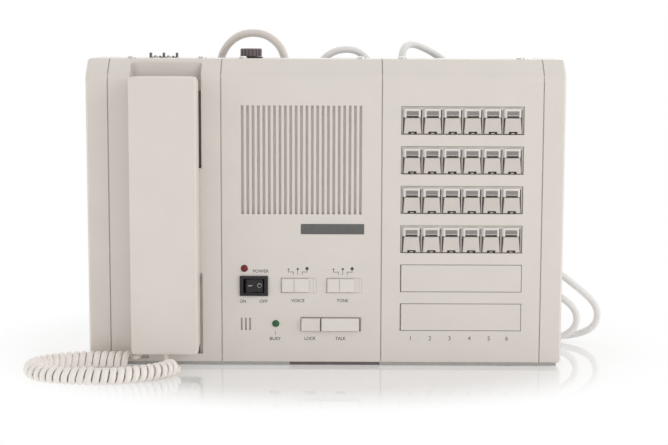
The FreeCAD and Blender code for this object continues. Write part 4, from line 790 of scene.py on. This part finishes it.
def flatText(name, words, x, z, height, width=None, bold=0.0):
    """Printed text on the front: its middle at x, its foot at z, capitals of the given height."""
    data = bpy.data.curves.new(name, "FONT")
    data.body = words
    data.size = 1.0
    data.resolution_u = 4
    data.offset = bold
    data.align_x = "CENTER"
    item = bpy.data.objects.new(name, data)
    mesh = bpy.data.meshes.new_from_object(item)
    bpy.data.objects.remove(item)
    xs = [vertex.co.x for vertex in mesh.vertices]
    ys = [vertex.co.y for vertex in mesh.vertices]
    factor = height / (max(ys) - min(ys))
    wide = (max(xs) - min(xs)) * factor
    squeeze = width / wide if width else 1.0
    centre = (max(xs) + min(xs)) / 2
    for vertex in mesh.vertices:
        along = (vertex.co.x - centre) * factor * squeeze
        vertex.co = place(x + along, -printStands, z + vertex.co.y * factor)
    finishPiece(name, mesh, "print", "casing")


legends = {
    # the middle, the foot and the width of each word, in millimetres
    "words": {
        "power": (-48.6, 68.2, 11.8),
        "on": (-62.2, 45.2, 4.6),
        "off": (-46.6, 45.2, 6.2),
        "voice": (-20.8, 45.8, 10.2),
        "tone": (12.9, 45.9, 8.6),
        "busy": (-37.7, 16.6, 8.4),
        "lock": (-11.4, 16.8, 8.6),
        "talk": (11.6, 16.8, 8.0),
    },
    "height": 2.5,
    "bold": 0.011,  # of the letter height, added all round
}
digits = {"row": 16.8, "height": 3.3, "places": (64.5, 79.2, 94.0, 109.0, 123.7, 137.3)}


def addLegends():
    for word, (x, z, width) in legends["words"].items():
        flatText(f"legend_{word}", word.upper(), x, z, legends["height"], width, legends["bold"])
    for number, x in enumerate(digits["places"], start=1):
        flatText(f"legend_digit_{number}", str(number), x, digits["row"], digits["height"])


addLegends()
stageLine("legends")


# ---- printed marks ----


upright = Matrix.Rotation(TURN / 4, 4, "X")


def addDot(bm, x, z, diameter):
    bmesh.ops.create_circle(bm, cap_ends=True, segments=24, radius=diameter * MM / 2,
                            matrix=Matrix.Translation(place(x, -printStands, z)) @ upright)


def addStroke(bm, points, width):
    """A printed line of straight strokes through points on the front."""
    for (x0, z0), (x1, z1) in zip(points, points[1:]):
        reach = math.hypot(x1 - x0, z1 - z0) + width
        turned = Matrix.Rotation(-math.atan2(z1 - z0, x1 - x0), 4, "Y")
        size = Matrix.Diagonal((reach * MM, width * MM, 1, 1))
        middle = Matrix.Translation(place((x0 + x1) / 2, -printStands, (z0 + z1) / 2))
        bmesh.ops.create_grid(bm, x_segments=1, y_segments=1, size=0.5,
                              matrix=middle @ turned @ upright @ size)


levelMarks = {
    "dots": ((-27.8, 70.9, 1.2), (-20.8, 71.1, 1.7), (-13.8, 71.4, 2.5)),
    "lines": (
        ((-27.8, 70.2), (-27.8, 68.8), (-24.1, 68.8), (-24.1, 66.9)),
        ((-20.85, 70.0), (-20.85, 66.9)),
        ((-13.8, 70.0), (-13.8, 68.8), (-17.5, 68.8), (-17.5, 66.9)),
    ),
    "lineWidth": 0.5,
    "sets": (0, 33.9),
    "busyTick": ((-37.6, 20.9), (-37.6, 23.1)),
}


def addMarks():
    def dots(bm):
        for shift in levelMarks["sets"]:
            for x, z, diameter in levelMarks["dots"]:
                addDot(bm, x + shift, z, diameter)

    def lines(bm):
        for shift in levelMarks["sets"]:
            for points in levelMarks["lines"]:
                addStroke(bm, [(x + shift, z) for x, z in points], levelMarks["lineWidth"])
        addStroke(bm, levelMarks["busyTick"], levelMarks["lineWidth"])

    finishPiece("level_dots", meshOf("level_dots", dots), "print", "casing")
    finishPiece("leader_lines", meshOf("leader_lines", lines), "faint", "casing")


rockerMarks = {
    "bar": (-56.6, 58.5, 2.8),
    "ring": (-49.6, 58.5, 2.9),
    "steps": 24,
    "stroke": 0.45,
    "stands": 0.04,
}


def laidOn(nodeName, mesh, stands):
    """Lays a mark on the front of a node, seen along Y."""
    target = bmesh.new()
    target.from_mesh(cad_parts[nodeName].data)
    tree = BVHTree.FromBMesh(target)
    target.free()
    for vertex in mesh.vertices:
        hit = tree.ray_cast(Vector((vertex.co.x, -1, vertex.co.z)), Vector((0, 1, 0)))[0]
        if hit:
            vertex.co.y = hit.y - stands * MM
    return mesh


def addRockerMarks():
    x, z, wide = rockerMarks["ring"]
    barX, barZ, long = rockerMarks["bar"]
    stroke = rockerMarks["stroke"]
    steps = rockerMarks["steps"]

    def marks(bm):
        addStroke(bm, ((barX - long / 2, barZ), (barX + long / 2, barZ)), stroke)
        angles = [TURN * step / steps for step in range(steps + 1)]
        around = [(x + wide / 2 * math.cos(angle), z + wide / 2 * math.sin(angle)) for angle in angles]
        addStroke(bm, around, stroke)
        bmesh.ops.subdivide_edges(bm, edges=bm.edges[:], cuts=1, use_grid_fill=True)

    mesh = laidOn("power_rocker", meshOf("rocker_marks", marks), rockerMarks["stands"])
    finishPiece("rocker_marks", mesh, "whitePrint", "rocker")


addMarks()
addRockerMarks()
stageLine("marks")


# ---- screws, badge plate and grille cloth ----

screws = {
    "row": 22,
    "seat": 228,
    "places": (-146.6, -93.4, -62.6, 26.6, 57.4, 146.6),
    "profile": ((0, 1.9), (1.2, 1.86), (2.2, 1.62), (2.9, 1.15), (3.2, 0.5), (3.2, 0), (1.5, 0),
                (1.5, -2.4), (0, -2.4)),
    "recess": (0.75, 3.4, 0.9),
}
rearScrews = [(x, z) for x in (-152, 0, 152) for z in (10, 178)]
terminals = {
    "row": 50,
    "sunk": 3.8,
    "places": (-130.35, -120.25),
    "profile": ((0, 1.3), (1.6, 1.2), (2.5, 0.8), (2.7, 0.2), (2.7, 0), (0, 0)),
    "recess": (0.7, 3.2, 0.6),
    "clamp": (7.0, 0.8),
}
badge = {
    "middle": (5.25, 101.35),
    "size": (47.2, 7.4),
    "thick": 0.6,
    "proud": 0.2,
    "corner": 0.9,
    "rim": 0.12,
}
cloth = {"middle": (-18, 153.2), "size": (97, 86), "depth": 2.6, "cells": 30}
recessTaper = 0.7


def crossRecess(bm, width, reach, depth):
    """Presses a cross, narrower at its bottom, into the top of a screw head."""
    half, end = width * MM / 2, reach * MM / 2
    for axis in ((1, 0, 0), (0, 1, 0)):
        for offset in (-end, -half, half, end):
            bmesh.ops.bisect_plane(bm, geom=bm.verts[:] + bm.edges[:] + bm.faces[:],
                                   plane_co=offset * Vector(axis), plane_no=axis)
    bm.normal_update()
    chosen = []
    for face in bm.faces:
        middle = face.calc_center_median()
        narrow, long = sorted((abs(middle.x), abs(middle.y)))
        facesUp = face.normal.z > 0.3
        if facesUp and narrow < half and long < end:
            chosen.append(face)
    sunk = bmesh.ops.extrude_face_region(bm, geom=chosen)
    bmesh.ops.delete(bm, geom=chosen, context="FACES")
    lowered = [item for item in sunk["geom"] if isinstance(item, bmesh.types.BMVert)]
    bmesh.ops.translate(bm, verts=lowered, vec=(0, 0, -depth * MM))
    bmesh.ops.scale(bm, verts=lowered, vec=(recessTaper, recessTaper, 1))


def screwMesh(name, fitting, places, extra=None):
    """One mesh of a screw set at several places, each turned its own way."""
    turns = random.Random(len(places))

    def build(bm):
        for spot in places:
            one = bmesh.new()
            lathe(one, fitting["profile"])
            crossRecess(one, *fitting["recess"])
            if extra:
                extra(one)
            joinTo(bm, one, spot @ Matrix.Rotation(turns.uniform(0, TURN), 4, "Z"))
    return meshOf(name, build)


def addScrews():
    spots = [Matrix.Translation(place(x, screws["row"], screws["seat"])) for x in screws["places"]]
    finishPiece("cover_screws", screwMesh("cover_screws", screws, spots), "nickel", "casing")
    back = (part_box("rear_chassis")[1][1] - frontY) / MM
    facing = Matrix.Rotation(-TURN / 4, 4, "X")
    spots = [Matrix.Translation(place(x, back, z)) @ facing for x, z in rearScrews]
    finishPiece("chassis_screws", screwMesh("chassis_screws", screws, spots), "zinc", "casing")
    seat = (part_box("terminal_strip")[1][2] - casingFoot) / MM - terminals["sunk"]
    side, thick = terminals["clamp"]

    def clamp(bm):
        size = Matrix.Diagonal((side * MM, side * MM, thick * MM, 1))
        bmesh.ops.create_cube(bm, size=1, matrix=Matrix.Translation((0, 0, -thick * MM / 2)) @ size)

    spots = [Matrix.Translation(place(x, terminals["row"], seat + thick)) for x in terminals["places"]]
    finishPiece("terminal_screws", screwMesh("terminal_screws", terminals, spots, clamp), "nickel",
                "casing")


def addBadge():
    """A bare plate; nothing is printed on it."""
    wide, tall = badge["size"]
    thick = badge["thick"] * MM

    def build(bm):
        size = Matrix.Diagonal((wide * MM, thick, tall * MM, 1))
        bmesh.ops.create_cube(bm, size=1, matrix=Matrix.Translation((0, thick / 2, 0)) @ size)
        through = [edge for edge in bm.edges if abs(edge.verts[0].co.y - edge.verts[1].co.y) > thick / 2]
        bmesh.ops.bevel(bm, geom=through, offset=badge["corner"] * MM, segments=6, profile=0.5,
                        affect="EDGES")
        front = [edge for edge in bm.edges if max(abs(vertex.co.y) for vertex in edge.verts) < thick / 2]
        bmesh.ops.bevel(bm, geom=front, offset=badge["rim"] * MM, segments=2, profile=0.5, affect="EDGES")
        x, z = badge["middle"]
        bmesh.ops.translate(bm, verts=bm.verts[:], vec=place(x, -badge["proud"], z))

    finishPiece("badge_plate", meshOf("badge_plate", build), "badge", "casing")


def addCloth():
    """Woven cloth glued behind the slots."""
    wide, tall = cloth["size"]
    x, z = cloth["middle"]
    flat = Matrix.Translation(place(x, cloth["depth"], z)) @ upright
    size = Matrix.Diagonal((wide * MM, tall * MM, 1, 1))
    mesh = meshOf("grille_cloth", lambda bm: bmesh.ops.create_grid(
        bm, x_segments=cloth["cells"], y_segments=cloth["cells"], size=0.5, matrix=flat @ size))
    item = finishPiece("grille_cloth", mesh, "cloth", "casing")


# ---- thin trim in the gaps, and dark plates of painted shade ----

lampField = {"middle": 102, "pitch": 14.95, "columns": 6, "foot": 97.4, "rise": 29.7, "rows": 4}
slideWindow = {
    "lefts": (-33.35, 0.9),
    "wide": 26.5,
    "foot": 52.95,
    "top": 64.25,
    "rim": 0.6,
    "rimDepth": 0.3,
    "step": 1.9,
    "stepDepth": 0.16,
}


def atLamps(left, right, foot, top, depth):
    """One flat piece at each lamp lens, from the middle of its foot."""
    first = lampField["middle"] - lampField["pitch"] * (lampField["columns"] - 1) / 2
    plates = []
    for row in range(lampField["rows"]):
        z = lampField["foot"] + lampField["rise"] * row
        for column in range(lampField["columns"]):
            x = first + lampField["pitch"] * column
            plates.append((x + left, x + right, z + foot, z + top, depth))
    return plates


def roundSlides():
    """The rims of the slides' windows; the one on the right is a wider step."""
    foot, top = slideWindow["foot"], slideWindow["top"]
    rim, depth = slideWindow["rim"], slideWindow["rimDepth"]
    plates = []
    for left in slideWindow["lefts"]:
        right = left + slideWindow["wide"]
        plates += [
            (left, left + rim, foot, top, depth),
            (right - slideWindow["step"], right, foot, top, slideWindow["stepDepth"]),
            (left, right, foot, foot + rim, depth),
            (left, right, top - rim, top, depth),
        ]
    return plates


trim = {
    # left, right, foot, top and depth of each flat piece, in millimetres
    "microphone_gauze": ("outlet", [(x - 0.6, x + 0.6, 24.3, 33.6, 1.2) for x in (-63.15, -60, -56.85)]),
    "button_guides": ("casing", [(-3.8, -3.1, 23.6, 34, 0.9), (25.8, 27, 23.6, 34, 1.9)]),
    "slider_surrounds": ("cap", roundSlides()),
    "pocket_liners": ("casing", [(-94.9, -92.7, 6, 68, 2.8)]),
    "chassis_flange": ("zinc", [(-175, -27, -2.6, -0.1, 1), (41, 175, -2.6, -0.1, 1)]),
    # painted shade: a dark strip under the middle of the front
    "painted_shade_under_front": ("fuse", [(-27, 41, -2.6, -0.1, 1.3)]),
    # painted shade: a dark strip in the ear's pocket beside the handset
    "painted_shade_in_ear_pocket": ("fuse", [(-94.9, -92.7, 148, 203, 3)]),
    "lens_sills": ("outlet", atLamps(-4.35, 4.35, 0, 0.75, -0.6)),
    "lamp_house_cheeks": ("frame", atLamps(-6.98, -6, -1.2, 5.3, 0.9)),
}
seamStrips = {
    "places": (-162, -78, 42, 162),
    "wide": 0.56,
    "depth": 0.95,
    "foot": 1,
    "back": 56,
    # where the covers' bevel ends, under their top and behind their front
    "bevel": (12.3, 14.3),
}
# painted shade: a dark plate in each key's notch, its size and depth in millimetres
notchShade = {"wide": 6.2, "tall": 1.5, "depth": 0.7}
plateThick = 0.15


def addPlate(bm, left, right, foot, top, depth):
    middle = Matrix.Translation(place((left + right) / 2, depth + plateThick / 2, (foot + top) / 2))
    size = Matrix.Diagonal(((right - left) * MM, plateThick * MM, (top - foot) * MM, 1))
    bmesh.ops.create_cube(bm, size=1, matrix=middle @ size)


def addTrim():
    for name, (finish, plates) in trim.items():
        def build(bm):
            for plate in plates:
                addPlate(bm, *plate)
        finishPiece(name, meshOf(name, build), finish, "casing")


def addSeamStrips():
    """A strip set back in each seam, over the front, the bevel and the top."""
    height = (casingTop - casingFoot) / MM
    depth = seamStrips["depth"]
    under, behind = seamStrips["bevel"]
    line = [(depth, seamStrips["foot"]), (depth, height - under), (behind, height - depth),
            (seamStrips["back"], height - depth)]

    def build(bm):
        for x in seamStrips["places"]:
            points = [bm.verts.new(place(x - seamStrips["wide"] / 2, y, z)) for y, z in line]
            edges = [bm.edges.new(pair) for pair in zip(points, points[1:])]
            grown = bmesh.ops.extrude_edge_only(bm, edges=edges)["geom"]
            moved = [item for item in grown if isinstance(item, bmesh.types.BMVert)]
            bmesh.ops.translate(bm, verts=moved, vec=(seamStrips["wide"] * MM, 0, 0))

    finishPiece("seam_strips", meshOf("seam_strips", build), "casing", "casing")


def addFingerSlots():
    """A dark plate of painted shade in the notch at the foot of each key."""
    for nodeName in keyNodes:
        low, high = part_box(nodeName)
        middle = (low[0] + high[0]) / 2 / MM
        foot = (low[2] - casingFoot) / MM
        front = (low[1] - frontY) / MM
        half = notchShade["wide"] / 2
        name = nodeName.replace("key_", "notch_painted_shade_")
        mesh = meshOf(name, lambda bm: addPlate(
            bm, middle - half, middle + half, foot, foot + notchShade["tall"], front + notchShade["depth"]))
        finishPiece(name, mesh, "black", f"body_{nodeName}")


addTrim()
addSeamStrips()
addFingerSlots()
addScrews()
addBadge()
addCloth()
stageLine("fittings")


# ---- floor, light and background ----

studio = {
    "radius": 6.0,
    # the clear part of the floor: its middle, its width and depth, and where its fading begins and ends
    "centre": -0.06,
    "clear": (0.64, 0.5),
    "fade": (0.31, 0.47),
    "glow": 0.24,
    "ambient": 0.46,
    "walls": 1.4,
    "aim": (0, 0, 0.12),
}


def addFloor():
    """White gloss table; away from the station it fades into the white background."""
    mesh = meshOf("studio_floor", lambda bm: bmesh.ops.create_circle(
        bm, cap_ends=True, segments=96, radius=studio["radius"]))
    item = bpy.data.objects.new("studio_floor", mesh)
    bpy.context.scene.collection.objects.link(item)
    material, tree = newMaterial("floor_white_gloss")
    vector = addNode(tree, "TexCoord").outputs["Object"]
    wide, deep = studio["clear"]
    squeezed = addNode(tree, "Mapping", {
        "Vector": vector, "Location": (0, studio["centre"] / deep, 0), "Scale": (1 / wide, 1 / deep, 1),
    }).outputs["Vector"]
    distance = addNode(tree, "VectorMath", {0: squeezed}, operation="LENGTH").outputs["Value"]
    start, end = studio["fade"]
    far = addNode(tree, "MapRange", {
        "Value": distance, "From Min": start, "From Max": end, "To Min": studio["glow"],
    }, interpolation_type="SMOOTHSTEP").outputs["Result"]
    surface = addNode(tree, "BsdfPrincipled", {
        "Base Color": colour("#F6F5F4"), "Roughness": 0.01, "Specular IOR Level": 0.9,
        "Coat Weight": 0.8, "Coat Roughness": 0.0,
    })
    glow = addNode(tree, "Emission", {"Color": (1, 1, 1, 1), "Strength": 1.0})
    blend = addNode(tree, "MixShader", {0: far, 1: surface.outputs["BSDF"], 2: glow.outputs["Emission"]})
    addNode(tree, "OutputMaterial", {"Surface": blend.outputs["Shader"]})
    mesh.materials.append(material)


lights = {
    "key": {"at": (1.1, -0.8, 0.75), "size": 1.0, "power": 3.9},
    "rear": {"at": (0.1, 0.8, 0.9), "size": 1.0, "power": 3},
}


def addLights():
    for name, light in lights.items():
        data = bpy.data.lights.new(name, "AREA")
        data.shape = "DISK"
        data.size = light["size"]
        data.energy = light["power"]
        item = bpy.data.objects.new(name, data)
        item.location = light["at"]
        ahead = Vector(studio["aim"]) - Vector(light["at"])
        item.rotation_euler = ahead.to_track_quat("-Z", "Y").to_euler()
        bpy.context.scene.collection.objects.link(item)


def addWorld():
    world = bpy.data.worlds.new("studio")
    world.use_nodes = True
    tree = world.node_tree
    tree.nodes.clear()
    path = addNode(tree, "LightPath")
    seen = addNode(tree, "Math", {0: path.outputs["Is Camera Ray"], 1: path.outputs["Is Glossy Ray"]},
                   operation="MAXIMUM")
    seen = addNode(tree, "Math", {0: seen.outputs["Value"], 1: path.outputs["Is Transmission Ray"]},
                   operation="MAXIMUM")
    # the tent is brightest at its left and right walls
    towards = addNode(tree, "TexCoord").outputs["Generated"]
    heading = addNode(tree, "SeparateXYZ", {"Vector": towards}).outputs["X"]
    squared = addNode(tree, "Math", {0: heading, 1: heading}, operation="MULTIPLY").outputs["Value"]
    tent = addNode(tree, "Math", {0: squared, 1: studio["walls"], 2: studio["ambient"]},
                   operation="MULTIPLY_ADD").outputs["Value"]
    ambient = addNode(tree, "Background", {"Color": (1, 1, 1, 1), "Strength": tent})
    white = addNode(tree, "Background", {"Color": (1, 1, 1, 1), "Strength": 1.0})
    mix = addNode(tree, "MixShader", {
        0: seen.outputs["Value"], 1: ambient.outputs["Background"], 2: white.outputs["Background"],
    })
    addNode(tree, "OutputWorld", {"Surface": mix.outputs["Shader"]})
    bpy.context.scene.world = world


addFloor()
addLights()
addWorld()
bpy.context.scene.view_settings.view_transform = "Standard"
stageLine("studio")
